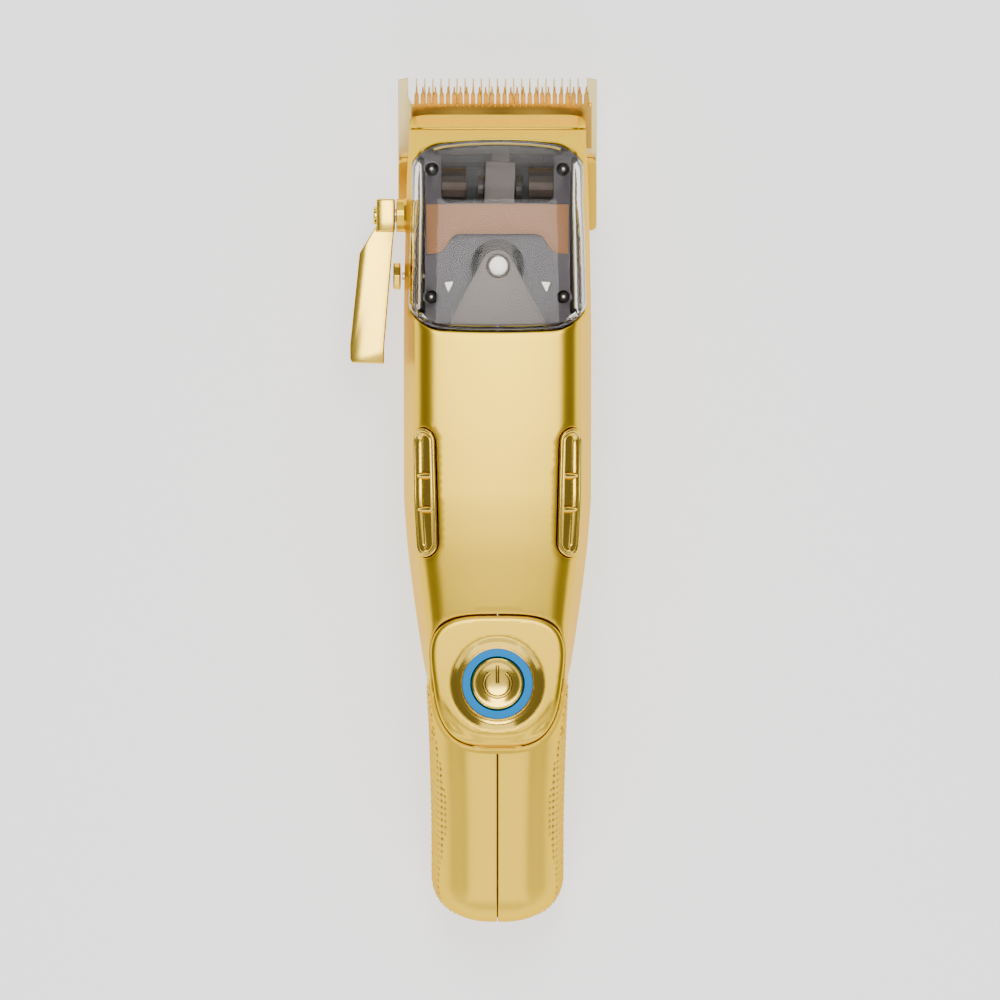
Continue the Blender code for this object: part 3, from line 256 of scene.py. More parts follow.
def body_half_ring(place):
    if place <= -BEND_Y:
        width, top, widest, corner, inset = between(BARREL, -place)
        bottom = between(UNDERSIDE, -place)[0]
        top, bottom, widest = top - SPINE_Z, bottom - SPINE_Z, widest - SPINE_Z
    else:
        width, top, below, widest = between(HANDLE, place)
        rounder = min(1.0, max(0.0, (place - 90.0) / 12.0))
        bottom, corner, inset = -below, 4.5 + 5.5 * rounder, 3.0 + 0.6 * rounder
    into = max(0.0, place - (HANDLE_END - END_CAP)) / END_CAP
    shrink = max(1e-6, 1 - into ** END_POWER) ** (1 / END_POWER)
    y, z, turn = spine(place)
    ring = []
    for x, h in half_section(width, top, bottom, widest, corner, inset):
        h = widest + (h - widest) * shrink
        ring.append((x * shrink, y - h * math.sin(turn), z + h * math.cos(turn), h))
    return ring


def pod_half_width(y, grow=0.0):
    middle, half = sum(POD_Y) / 2, (POD_Y[1] - POD_Y[0]) / 2 + grow
    share = min(1.0, abs(y - middle) / half)
    return (14.98 + 0.133 * (y + 87.0) + grow) * (1 - share ** POD_POWER) ** (1 / POD_POWER)


def cover_half_ring(y):
    width, top, widest, corner, inset = between(BARREL, y)
    if y < SHOULDER_Y - 3.0:
        width = max(0.05, min(width, pod_half_width(y, COLLAR)))
    section = half_section(width, top, between(UNDERSIDE, y)[0], widest, corner, inset)
    return [(x, y, z, z) for x, z in section]


# %% Wrap a flat pattern on a surface
class Skin:
    """A lofted surface addressed by a (mm around from the top's middle) and b (mm along).

    b runs towards the handle, so a pattern drawn anticlockwise faces down until its faces are reversed.
    """
    STEP = 0.4
    winding = -1

    def __init__(self, half_ring, places):
        rings = [np.array(half_ring(place)) for place in places]
        lengths = [np.concatenate([[0], np.cumsum(np.linalg.norm(np.diff(r[:, :3], axis=0), axis=1))]) for r in rings]
        self.places = np.array(places)
        self.around = np.array([length[-1] for length in lengths])
        samples = np.arange(0, self.around.max() + self.STEP, self.STEP)
        self.grid = np.array([[np.interp(samples, length, r[:, c]) for c in range(4)]
                              for r, length in zip(rings, lengths)]).transpose(0, 2, 1)
        widths = np.array([r[:, 0].max() for r in rings])
        lead = np.diff(self.grid[:, 0, :3], axis=0)
        self.along = np.concatenate([[0], np.cumsum(np.sqrt((lead ** 2).sum(axis=1) + np.diff(widths) ** 2))])
        du, dv = np.gradient(self.grid[:, :, :3], axis=1), np.gradient(self.grid[:, :, :3], axis=0)
        normal = np.cross(dv, du)
        normal[:, 0, 0] = 0
        size = np.linalg.norm(normal, axis=2, keepdims=True)
        normal = normal / np.maximum(size, 1e-9)
        self.normals = normal * (1.0 if normal[len(places) // 2, 0, 2] > 0 else -1.0)

    def b(self, place):
        order = np.argsort(self.places)
        return np.interp(place, self.places[order], self.along[order])

    def row(self, b):
        j = np.clip(np.searchsorted(self.along, b) - 1, 0, len(self.along) - 2)
        return j, np.clip((b - self.along[j]) / (self.along[j + 1] - self.along[j]), 0, 1)

    def points(self, a, b, lift=0.0):
        a, b = np.asarray(a, float), np.asarray(b, float)
        j, t = self.row(b)
        limit = self.around[j] * (1 - t) + self.around[j + 1] * t
        u = np.minimum(np.abs(a), limit) / self.STEP
        k = np.clip(u.astype(int), 0, self.grid.shape[1] - 2)
        s = (u - k)[:, None]
        t = t[:, None]

        def mix(g):
            low = g[j, k] * (1 - s) + g[j, k + 1] * s
            return low * (1 - t) + (g[j + 1, k] * (1 - s) + g[j + 1, k + 1] * s) * t
        side = np.where(a < 0, -1.0, 1.0)
        place, normal = mix(self.grid)[:, :3], mix(self.normals)
        place[:, 0] *= side
        normal[:, 0] *= side
        return place + normal * np.reshape(lift, (-1, 1))

    def at_x(self, place, x):
        """How far round the surface a line at x from the middle lies."""
        ring = self._ring(place)
        top = int(ring[:, 0].argmax())
        return float(np.interp(abs(x), ring[:top + 1, 0], np.arange(top + 1) * self.STEP))

    def at_height(self, place, height):
        """How far round the surface it comes down to a height."""
        ring = self._ring(place)
        return float(np.interp(-height, -ring[:, 3], np.arange(len(ring)) * self.STEP))

    def _ring(self, place):
        j, t = self.row(np.array([self.b(place)]))
        return (self.grid[j] * (1 - t[:, None, None]) + self.grid[j + 1] * t[:, None, None])[0]


barrel_places = list(np.arange(34.1, -104.0, -0.4)) + [-107.8 + 3.8 * (1 - k / 40) ** 2 for k in range(1, 41)]
cover_skin = Skin(cover_half_ring, barrel_places)
cap = [HANDLE_END - END_CAP * (1 - k / 50) ** 2 for k in range(51)]
body_skin = Skin(body_half_ring, list(np.arange(-34.1, cap[0] - 0.2, 0.5)) + cap)
print("cover runs", round(cover_skin.along[-1], 1), "mm; body", round(body_skin.along[-1], 1), "mm")


# %% [markdown]
# ## Cutting panels
# A panel is one closed outline with holes. Its edge is rolled over by a small radius, because a real
# edge is never sharp and it is the edge that catches the light. The inside is filled by triangles.

# %% Outline helpers
def resample(loop, step):
    """The closed loop with evenly spaced points."""
    loop = np.array(loop, float)
    closed = np.vstack([loop, loop[:1]])
    length = np.concatenate([[0], np.cumsum(np.linalg.norm(np.diff(closed, axis=0), axis=1))])
    count = max(8, int(round(length[-1] / step)))
    at = np.linspace(0, length[-1], count, endpoint=False)
    return np.stack([np.interp(at, length, closed[:, c]) for c in range(2)], axis=1)


def soften(loop, rounds):
    for _ in range(rounds):
        loop = (np.roll(loop, 1, axis=0) + 2 * loop + np.roll(loop, -1, axis=0)) / 4
    return loop


def turning(loop):
    nxt = np.roll(loop, -1, axis=0)
    return float((loop[:, 0] * nxt[:, 1] - nxt[:, 0] * loop[:, 1]).sum())


def inset(loop, distance):
    """Move a loop to its left by a distance."""
    run = np.roll(loop, -1, axis=0) - np.roll(loop, 1, axis=0)
    run = run / np.maximum(np.linalg.norm(run, axis=1, keepdims=True), 1e-9)
    return loop + np.stack([-run[:, 1], run[:, 0]], axis=1) * distance


def inside(points, loops):
    """Whether each point is within the first loop and out of the others."""
    hits = np.zeros(len(points), int)
    for loop in loops:
        nxt = np.roll(loop, -1, axis=0)
        for (x0, y0), (x1, y1) in zip(loop, nxt):
            if y0 == y1:
                continue
            span = (points[:, 1] >= min(y0, y1)) & (points[:, 1] < max(y0, y1))
            x = x0 + (points[:, 1] - y0) * (x1 - x0) / (y1 - y0)
            hits += span & (points[:, 0] < x)
    return hits % 2 == 1


def clearance(points, loops, limit):
    """Whether each point is farther than a limit from every loop."""
    free = np.ones(len(points), bool)
    for loop in loops:
        for corner in loop:
            free &= ((points - corner) ** 2).sum(axis=1) > limit ** 2
    return free


# %% Make a panel
def mesh_object(name, points, faces, uv=None):
    mesh = bpy.data.meshes.new(name)
    mesh.from_pydata([tuple(p) for p in points], [], faces)
    if uv is not None:
        layer = mesh.uv_layers.new(name="pattern")
        for loop in mesh.loops:
            layer.data[loop.index].uv = uv[loop.vertex_index]
    mesh.validate()
    mesh.shade_smooth()
    made = bpy.data.objects.new(name, mesh)
    bpy.context.collection.objects.link(made)
    return made


def apply(obj, kind, **settings):
    """Add a modifier and apply it."""
    bpy.ops.object.select_all(action="DESELECT")
    bpy.context.view_layer.objects.active = obj
    obj.select_set(True)
    modifier = obj.modifiers.new(kind, kind)
    for key, value in settings.items():
        setattr(modifier, key, value)
    bpy.ops.object.modifier_apply(modifier=modifier.name)


def finish_piece(obj, look, body, *nodes, slot=None):
    """Give a piece its material, its body and the solids it stands for, which are hidden. The slot argument is not
    used.
    """
    obj.data.materials.clear()
    obj.data.materials.append(look)
    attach(obj, body)
    if nodes:
        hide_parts(*nodes)
    return obj


def panel(name, skin, outer, holes=(), edge=0.3, wall=1.6, step=1.0, lift=None, smooth=3, base=0.0, rim=None,
          skirt=0.0):
    """Wrap an outline with holes on a skin, roll its edges over and give it a wall."""
    loops = []
    for k, loop in enumerate([outer, *holes]):
        loop = soften(resample(loop, min(step, 0.6)), smooth)
        if (turning(loop) > 0) != (k == 0):
            loop = loop[::-1]
        loops.append(loop)
    angles = [0, 25, 50, 90]
    curve = [(1 - math.cos(math.radians(t)), math.sin(math.radians(t)) - 1) for t in angles]
    flat, heights, faces = [], [], []
    inner = []
    for k, loop in enumerate(loops):
        start = None
        radius = edge if k == 0 or rim is None else rim
        for distance, depth in ([(0, -1 - skirt / radius)] if skirt and k == 0 else []) + curve:
            first = len(flat)
            flat.extend(inset(loop, distance * radius))
            heights.extend([depth * radius] * len(loop))
            if start is not None:
                for i in range(len(loop)):
                    j = (i + 1) % len(loop)
                    faces.append((start + i, start + j, first + j, first + i))
            start = first
        inner.append((start, len(loop)))
    borders = [np.array(flat[s:s + n]) for s, n in inner]
    low, high = borders[0].min(axis=0), borders[0].max(axis=0)
    xs, ys = np.arange(low[0], high[0], step), np.arange(low[1], high[1], step * 0.87)
    grid = np.array([(x + (step / 2 if row % 2 else 0), y) for row, y in enumerate(ys) for x in xs])
    grid = grid[inside(grid, borders)]
    grid = grid[clearance(grid, borders, 0.62 * step)]
    first = len(flat)
    flat.extend(grid)
    heights.extend([0.0] * len(grid))
    numbers = [i for s, n in inner for i in range(s, s + n)] + list(range(first, len(flat)))
    edges = []
    offset = 0
    for _, n in inner:
        edges += [(offset + i, offset + (i + 1) % n) for i in range(n)]
        offset += n
    verts, _, tris, origin, _, _ = delaunay_2d_cdt([Vector(flat[i]) for i in numbers], edges, [], 0, 1e-7)
    index = []
    for vertex, source in zip(verts, origin):
        if source:
            index.append(numbers[source[0]])
        else:
            index.append(len(flat))
            flat.append(np.array(vertex))
            heights.append(0.0)
    middles = np.array([sum((verts[i] for i in tri), Vector((0, 0))) / 3 for tri in tris])
    wanted = inside(middles, borders)
    faces += [tuple(index[i] for i in tri) for tri, keep in zip(tris, wanted) if keep]
    flat = np.array(flat)
    heights = np.array(heights) + base
    if lift is not None:
        heights = heights + lift(flat[:, 0], flat[:, 1])
    if skin.winding < 0:
        faces = [tuple(reversed(face)) for face in faces]
    obj = mesh_object(name, skin.points(flat[:, 0], flat[:, 1], heights) * MM, faces, flat / 10)
    bpy.context.view_layer.update()
    apply(obj, "SOLIDIFY", thickness=wall * MM, offset=-1)
    return obj


# %% [markdown]
# ## Window, pod and trim outlines
# The same outlines cut the opening in the cover and, a little smaller, shape the piece that fills it.

# %% The openings of the cover
WINDOW_Y = (-14.4, 28.1)
WINDOW_SIDE = ((-60.0, 34.6), (15.0, 34.6), (28.5, 28.6))
WINDOW_BOW = {1: 2.2, -1: 0.9}
GAP = 0.3


def window_loop(grow):
    """Rounded in plan, and bounded on each side by a line along the casing."""
    half, radius = 20.8 + grow, 8.5 + grow
    quarter = []
    for sx, sy, y_edge in ((1, 1, WINDOW_Y[1] + grow), (1, -1, WINDOW_Y[0] - grow)):
        arc = []
        for k in range(41):
            angle = math.radians(90 * k / 40)
            x, y = half - radius + radius * math.cos(angle), y_edge - sy * (radius - radius * math.sin(angle))
            y -= sy * WINDOW_BOW[sy] * (x / half) ** 2
            height = np.interp(y, *zip(*WINDOW_SIDE)) - grow
            limit = cover_skin.at_height(y, height)
            arc.append((min(cover_skin.at_x(y, x) if x < 20 else 99, limit), cover_skin.b(y)))
        quarter.append(arc)
    front, rear = quarter
    middle = half - radius
    for arc, sy, y_edge in ((front, 1, WINDOW_Y[1] + grow), (rear, -1, WINDOW_Y[0] - grow)):
        for x in np.linspace(middle, 0.6, 9)[1:]:
            y = y_edge - sy * WINDOW_BOW[sy] * (x / half) ** 2
            arc.append((cover_skin.at_x(y, x), cover_skin.b(y)))
    side = []
    for y in np.linspace(WINDOW_Y[1] - radius, WINDOW_Y[0] + radius, 30):
        side.append((cover_skin.at_height(y, np.interp(y, *zip(*WINDOW_SIDE)) - grow), cover_skin.b(y)))
    right = front[::-1] + [point for point in side if rear[0][1] > point[1] > front[0][1]] + rear
    return right + [(-a, b) for a, b in right[::-1]]


def pod_loop(grow, steps=60):
    middle, half = sum(POD_Y) / 2, (POD_Y[1] - POD_Y[0]) / 2 + grow
    right = []
    for k in range(steps + 1):
        y = middle + half * math.cos(math.pi * k / steps)
        right.append((cover_skin.at_x(y, pod_half_width(y, grow)), cover_skin.b(y)))
    return right + [(-a, b) for a, b in right[-2:0:-1]]


TRIM_ENDS = ((16.9, -36.0), (16.3, -64.5))
TRIM_HALF = 3.0


def trim_loop(side, grow, half=None, ends=None):
    """A capsule on the cover's rounded corner."""
    half = (half or TRIM_HALF) + grow
    (a0, y0), (a1, y1) = TRIM_ENDS
    b0, b1 = ends or (cover_skin.b(y0), cover_skin.b(y1))
    b0, b1 = b0 + TRIM_HALF, b1 - TRIM_HALF
    loop = []
    for centre, a, start in ((b0, a0, 180), (b1, a1, 0)):
        for k in range(25):
            angle = math.radians(start + 180 * k / 24)
            loop.append((side * (a + half * math.cos(angle)), centre + half * math.sin(angle)))
    return loop


# %% Cut the top cover
def cover_edge_height(y):
    """The cover ends on the parting line, and behind the shoulder on the handle's top."""
    place = -BEND_Y + BEND_RADIUS * math.asin(min(0.342, max(0.0, (BEND_Y - y) / BEND_RADIUS)))
    handle_top = spine(place)[1] + between(HANDLE, place)[1] - max(0.0, BEND_Y - y - 20.5) * 0.36
    return 26.15 + (handle_top - 3.8 - 26.15) * min(1.0, max(0.0, (-89.5 - y) / 4.5))


cover_side = [(cover_skin.at_height(y, cover_edge_height(y)), cover_skin.b(y)) for y in np.linspace(22, -107.6, 110)]
cover_front = [(cover_skin.at_height(y, 26.15 - (y - 22) * 9 / 8.75), cover_skin.b(y))
               for y in np.linspace(30.6, 23, 8)]
cover_outer = cover_front + cover_side
cover_outer = cover_outer + [(-a, b) for a, b in cover_outer[::-1]]
holes = [window_loop(GAP), pod_loop(GAP), trim_loop(1, GAP), trim_loop(-1, GAP)]
top_cover = panel("top_cover_skin", cover_skin, cover_outer, holes, edge=0.35, wall=1.6, step=1.1)
finish_piece(top_cover, satin_gold, "casing", "top_cover", slot="satin_gold")
print("top cover:", len(top_cover.data.polygons), "faces")

# %% The window lid
lid = panel("window_lid_clear", cover_skin, window_loop(0.0), [], edge=0.8, wall=1.5, step=1.1, base=0.25)
finish_piece(lid, smoked, "casing", "window_lid", slot="smoked_clear")

# %% The nose cap
BLADE_TILT = math.radians(20)


def bay_height(y):
    return 15.2 + (y - 42.1) * math.tan(BLADE_TILT) + 3.1 / math.cos(BLADE_TILT)


NOSE_CORNER = 2.9
nose_side = []
for t in np.linspace(90, 0, 14):
    y = 34.05 - NOSE_CORNER * (1 - math.sin(math.radians(t)))
    from_side = NOSE_CORNER * (1 - math.cos(math.radians(t)))
    nose_side.append((cover_skin.at_height(y, bay_height(y)) - from_side * 1.9, cover_skin.b(y)))
nose_side.append((cover_skin.at_height(30.9, bay_height(30.9)), cover_skin.b(30.9)))
nose = panel("nose_cap_skin", cover_skin, nose_side + [(-a, b) for a, b in nose_side[::-1]], [], edge=0.45, wall=0.9,
             step=0.7, smooth=1)
finish_piece(nose, satin_gold, "casing", "nose_cap", slot="satin_gold")


# %% [markdown]
# ## The handle halves and the grips
# The lower casing is two mirrored halves that meet on a fine seam. A knurled grip is let into each side:
# rows of small raised diamonds, modelled for real, so that the outline is rough as well.

# %% Lower halves
def half_loop(side):
    seam = 0.09
    top = [(seam, body_skin.b(s)) for s in np.linspace(97, HANDLE_END - 0.2, 60)]
    bottom = [(body_skin.around[np.abs(body_skin.places - s).argmin()] - seam, body_skin.b(s))
              for s in np.linspace(HANDLE_END - 0.2, -7.9, 120)]
    bay = [(body_skin.at_height(-y, bay_height(y) - SPINE_Z), body_skin.b(-y)) for y in np.linspace(8.0, 30.6, 20)]
    front = [(body_skin.at_height(-y, 25.85 - (y - 22) * 9 / 8.75 - SPINE_Z), body_skin.b(-y))
             for y in np.linspace(30.6, 22.5, 8)]
    side_line = [(body_skin.at_height(s, 25.85 - SPINE_Z), body_skin.b(s)) for s in np.linspace(-22, 79, 60)]
    step_up = ((84, -4.0), (88, -3.6), (91.5, -2.8), (92.5, 4.0), (94, 8.0))
    rise = [(body_skin.at_height(s, h), body_skin.b(s)) for s, h in step_up]
    return [(side * a, b) for a, b in top + bottom + bay + front + side_line + rise]


def grip_loop(side):
    upper = [(39.0, -10.0), (39.6, -6.6), (42.0, -5.3), (60, -5.3), (79.0, -5.3), (86.0, -5.0), (91.5, -4.0),
             (94.0, 0.5), (97.5, 3.4), (103.0, 6.0), (110.0, 8.0), (117.0, 9.0), (124.0, 9.0), (131.0, 7.8),
             (138.0, 6.2), (143.0, 5.2), (146.4, 4.0)]
    lower = [(146.9, -4.6), (146.2, -7.2), (144.0, -9.0), (138.0, -9.5), (128.0, -9.5), (108.0, -9.5), (95.0, -10.0),
             (80.0, -10.5), (62.0, -13.5), (46.0, -18.6), (41.0, -18.6), (39.3, -15.0)]
    return [(side * body_skin.at_height(s, h), body_skin.b(s)) for s, h in upper + lower]


KNURL = 1.5


def knurl(a, b):
    """Raised diamonds on a slanted grid, with flat valleys."""
    u = math.pi * (a + b) / KNURL
    v = math.pi * (a - b) / KNURL
    return 0.32 * np.clip(np.sin(u) * np.sin(v), 0, 1) ** 0.7


for side, word in ((-1, "left"), (1, "right")):
    half = panel("casing_half_" + word, body_skin, half_loop(side), [], edge=0.3, wall=1.5, step=1.2, smooth=1)
    finish_piece(half, satin_gold, "casing", "body_half_" + word, slot="satin_gold")
    grip = panel("knurled_grip_" + word, body_skin, grip_loop(side), [], edge=0.3, wall=0.6, step=0.36, lift=knurl,
                 base=-0.02)
    finish_piece(grip, grip_gold, "casing", "grip_panel_" + word, slot="grip_gold")
    print(word, len(half.data.polygons), len(grip.data.polygons))


# %% [markdown]
# ## The side trims
# Each trim is a polished capsule rim with two cross-bars over three wells. The rim is one profile
# carried round the capsule: up over a rounded lip, then down a bright slope to the well's floor.

# %% Sweep a profile round a loop on the skin
def band(name, skin, loop, profile, wall=0.5):
    """A profile of (distance inwards, height) carried round a closed loop."""
    loop = resample(loop, 0.4)
    if turning(loop) < 0:
        loop = loop[::-1]
    flat = np.vstack([inset(loop, distance) for distance, _ in profile])
    heights = np.repeat([height for _, height in profile], len(loop))
    faces = []
    n = len(loop)
    for r in range(len(profile) - 1):
        for i in range(n):
            j = (i + 1) % n
            faces.append((r * n + i, r * n + j, (r + 1) * n + j, (r + 1) * n + i))
    if skin.winding < 0:
        faces = [tuple(reversed(face)) for face in faces]
    obj = mesh_object(name, skin.points(flat[:, 0], flat[:, 1], heights) * MM, faces, flat / 10)
    apply(obj, "SOLIDIFY", thickness=wall * MM, offset=-1)
    return obj


LIP = [(0.0, -0.6), (0.0, 0.12), (0.08, 0.32), (0.24, 0.45), (0.46, 0.48), (0.62, 0.40), (0.70, 0.25),
       (0.78, 0.12), (0.92, 0.10), (1.02, 0.16), (1.12, 0.14), (1.60, -0.75), (1.72, -0.85)]
BARS_Y = (-46.5, -54.0)


def trim_bar(name, side, y):
    """A ridge across the trim with a slope on each side."""
    centre = cover_skin.b(y)
    a_mid = np.interp(y, (TRIM_ENDS[1][1], TRIM_ENDS[0][1]), (TRIM_ENDS[1][0], TRIM_ENDS[0][0]))
    across = np.linspace(a_mid - 2.0, a_mid + 2.0, 15)
    profile = [(-1.0, -1.0), (-0.55, -0.35), (-0.3, 0.02), (0.0, 0.12), (0.3, 0.02), (0.55, -0.35), (1.0, -1.0)]
    flat = np.array([(side * a, centre + db) for db, _ in profile for a in across])
    heights = np.repeat([height for _, height in profile], len(across))
    n = len(across)
    faces = [(r * n + i, r * n + i + 1, (r + 1) * n + i + 1, (r + 1) * n + i)
             for r in range(len(profile) - 1) for i in range(n - 1)]
    if cover_skin.winding * side < 0:
        faces = [tuple(reversed(face)) for face in faces]
    obj = mesh_object(name, cover_skin.points(flat[:, 0], flat[:, 1], heights) * MM, faces, flat / 10)
    apply(obj, "SOLIDIFY", thickness=0.3 * MM, offset=-1)
    return obj


for side, word in ((-1, "left"), (1, "right")):
    rim = band("trim_rim_" + word, cover_skin, trim_loop(side, 0.0), LIP)
    finish_piece(rim, polished_gold, "casing", "side_trim_" + word, slot="polished_gold")
    for k, y in enumerate(BARS_Y):
        bar = trim_bar("trim_bar_%s_%d" % (word, k), side, y)
        finish_piece(bar, polished_gold, "casing", slot="polished_gold")
    floor = panel("trim_floor_" + word, cover_skin, trim_loop(side, -1.2), [], edge=0.05, wall=0.4, step=0.6,
                  base=-0.85)
    finish_piece(floor, polished_gold, "casing", "side_insert_" + word, slot="polished_gold")


# %% [markdown]
# ## The pod and the power button
# The pod is a squarish boss whose rear corners fall away in crescents. The lit ring and the button sit in
# a dished well. Round pieces are turned: a profile spun about the button's axis.

# %% Turned pieces
def turned(name, profile, at, look, body, *nodes, axis="Z", steps=72, slot=None, closed=True):
    """Spin a profile of (radius, height) about an axis through a point; closed profiles make rings."""
    bpy.ops.object.select_all(action="DESELECT")
    mesh = bpy.data.meshes.new(name)
    bm = bmesh.new()
    verts = [bm.verts.new((r, 0, h)) for r, h in profile]
    edges = [bm.edges.new(pair) for pair in zip(verts, verts[1:])]
    if closed and profile[0][0] > 0:
        edges.append(bm.edges.new((verts[-1], verts[0])))
    bmesh.ops.spin(bm, geom=verts + edges, cent=(0, 0, 0), axis=(0, 0, 1), angle=2 * math.pi, steps=steps,
                   use_merge=True)
    bmesh.ops.remove_doubles(bm, verts=bm.verts, dist=1e-4)
    bmesh.ops.recalc_face_normals(bm, faces=bm.faces)
    turn = {"Z": Matrix.Identity(4), "X": Matrix.Rotation(math.pi / 2, 4, "Y"),
            "Y": Matrix.Rotation(-math.pi / 2, 4, "X")}
    bmesh.ops.transform(bm, matrix=Matrix.Scale(MM, 4) @ Matrix.Translation(at) @ turn[axis], verts=bm.verts)
    bm.to_mesh(mesh)
    bm.free()
    mesh.shade_smooth()
    obj = bpy.data.objects.new(name, mesh)
    bpy.context.collection.objects.link(obj)
    smooth_by_angle(obj)
    return finish_piece(obj, look, body, *nodes, slot=slot)


def smooth_by_angle(obj, degrees=32):
    bpy.ops.object.select_all(action="DESELECT")
    bpy.context.view_layer.objects.active = obj
    obj.select_set(True)
    bpy.ops.object.shade_smooth_by_angle(angle=math.radians(degrees))


def rounded_profile(points, radius, steps=4):
    """Round each inner corner of an open profile by a radius."""
    result = [points[0]]
    for a, b, c in zip(points, points[1:], points[2:]):
        a, b, c = Vector(a), Vector(b), Vector(c)
        cut = min(radius, (a - b).length * 0.45, (c - b).length * 0.45)
        start, stop = b + (a - b).normalized() * cut, b + (c - b).normalized() * cut
        for k in range(steps + 1):
            t = k / steps
            result.append(tuple((1 - t) ** 2 * start + 2 * t * (1 - t) * b + t ** 2 * stop))
    return result + [points[-1]]


# %% The pod
BUTTON = (0.0, -92.6)
POD_TOP = 46.2


def pod_outline(grow, steps=90):
    middle, half = sum(POD_Y) / 2, (POD_Y[1] - POD_Y[0]) / 2 + grow
    right = []
    for k in range(steps + 1):
        y = middle + half * math.cos(math.pi * k / steps)
        right.append((pod_half_width(y, grow), y))
    return right + [(-x, y) for x, y in right[-2:0:-1]]


def pod_height(x, y):
    """Level top, a fall towards the rear lip, and a crescent step at each rear corner."""
    away = np.hypot(x - BUTTON[0], y - BUTTON[1])
    rear = np.clip((BUTTON[1] - 3.5 - y) / 5.0, 0, 1)
    crescent = np.clip((away - 12.3) / 0.7, 0, 1)
    crescent = crescent * crescent * (3 - 2 * crescent)
    lip = np.clip((-103.2 - y) / 3.3, 0, 1)
    return -0.55 * crescent * rear - 1.6 * lip ** 2


class Level:
    """A level plane that panels can be wrapped on, like a skin."""
    winding = 1

    def __init__(self, height):
        self.height = height

    def points(self, a, b, lift=0.0):
        return np.stack([a, b, np.full(len(a), self.height) + lift], axis=1)


POD_HOLE = 10.45
circle = [(BUTTON[0] + POD_HOLE * math.cos(t), BUTTON[1] + POD_HOLE * math.sin(t))
          for t in np.linspace(0, 2 * math.pi, 120)[:-1]]
pod = panel("pod_face", Level(POD_TOP), pod_outline(0.0), [circle], edge=0.9, wall=1.2, step=0.55,
            lift=pod_height, smooth=1, rim=0.08, skirt=6.0)
finish_piece(pod, satin_gold, "casing", "button_pod", slot="satin_gold")

# %% Dish, light ring and button
at = (BUTTON[0], BUTTON[1], POD_TOP)
dish = rounded_profile([(8.14, -4.2), (10.42, -4.2), (10.42, -0.06), (10.2, -0.12), (9.2, -0.95), (8.5, -1.15),
                        (8.14, -1.3)], 0.3)
turned("button_dish_turned", dish, at, polished_gold, "casing", "button_dish", slot="polished_gold", steps=96)
guide = rounded_profile([(6.05, -4.0), (7.8, -4.0), (7.8, -1.35), (6.05, -1.35)], 0.3)
turned("led_ring_turned", guide, at, glow, "casing", "led_ring", slot="light_blue", steps=96)
turned("light_bezel", rounded_profile([(7.8, -3.0), (8.12, -3.0), (8.12, -1.05), (7.8, -1.2)], 0.1), at,
       polished_gold, "casing", slot="polished_gold", steps=96)
cap_profile = [(0.0, -2.0), (1.5, -1.97), (3.0, -1.8), (4.3, -1.45), (4.9, -1.25), (5.3, -1.25), (5.6, -1.45),
               (5.7, -1.8), (5.7, -4.4), (0.0, -4.4)]
turned("power_button_turned", cap_profile, at, polished_gold, "button", "power_button", slot="polished_gold",
       steps=96)


# %% The power sign on the button
def tube_mark(name, path, radius):
    curve = bpy.data.curves.new(name, "CURVE")
    curve.dimensions = "3D"
    curve.bevel_depth = radius * MM
    curve.bevel_resolution = 3
    curve.use_fill_caps = True
    spline = curve.splines.new("POLY")
    spline.points.add(len(path) - 1)
    for point, (x, y, z) in zip(spline.points, path):
        point.co = (x * MM, y * MM, z * MM, 1)
    obj = bpy.data.objects.new(name, curve)
    bpy.context.collection.objects.link(obj)
    bpy.ops.object.select_all(action="DESELECT")
    bpy.context.view_layer.objects.active = obj
    obj.select_set(True)
    bpy.ops.object.convert(target="MESH")
    obj.data.shade_smooth()
    return obj


def button_height(radius):
    return POD_TOP + float(np.interp(radius, [0, 1.5, 3.0, 4.3], [-2.0, -1.97, -1.8, -1.45]))


def sign_paths(lift):
    """The arc and the bar of a power sign, lying on the button's hollow."""
    turns = np.linspace(math.radians(38), math.radians(322), 50)
    arc = [(BUTTON[0] + 3.0 * math.sin(t), BUTTON[1] + 3.0 * math.cos(t), button_height(3.0) + lift) for t in turns]
    bar = [(BUTTON[0], BUTTON[1] + y, button_height(abs(y)) + lift) for y in np.linspace(0.1, 4.0, 8)]
    return {"arc": arc, "bar": bar}


# A wider dark tube under the sign is painted shade in the crease round it.
for part, path in sign_paths(0.0).items():
    finish_piece(tube_mark("power_sign_shade_" + part, path, 0.42), painted_crease_shade, "button")
for part, path in sign_paths(0.22).items():
    finish_piece(tube_mark("power_sign_" + part, path, 0.27), polished_gold, "button")


# %% [markdown]
# ## Blades
# A clipper blade is a flat comb ground from sheet steel. Both combs are outlines extruded to their real
# thickness; the teeth get a ground slope on top and every edge a small bevel.

# %% Flat plates in the blade's own frame
BLADE_FRAME = Matrix.Translation((0, 42.1, 15.2)) @ Matrix.Rotation(BLADE_TILT, 4, "X")


def along_blade(y):
    return (y - 42.1) / math.cos(BLADE_TILT)


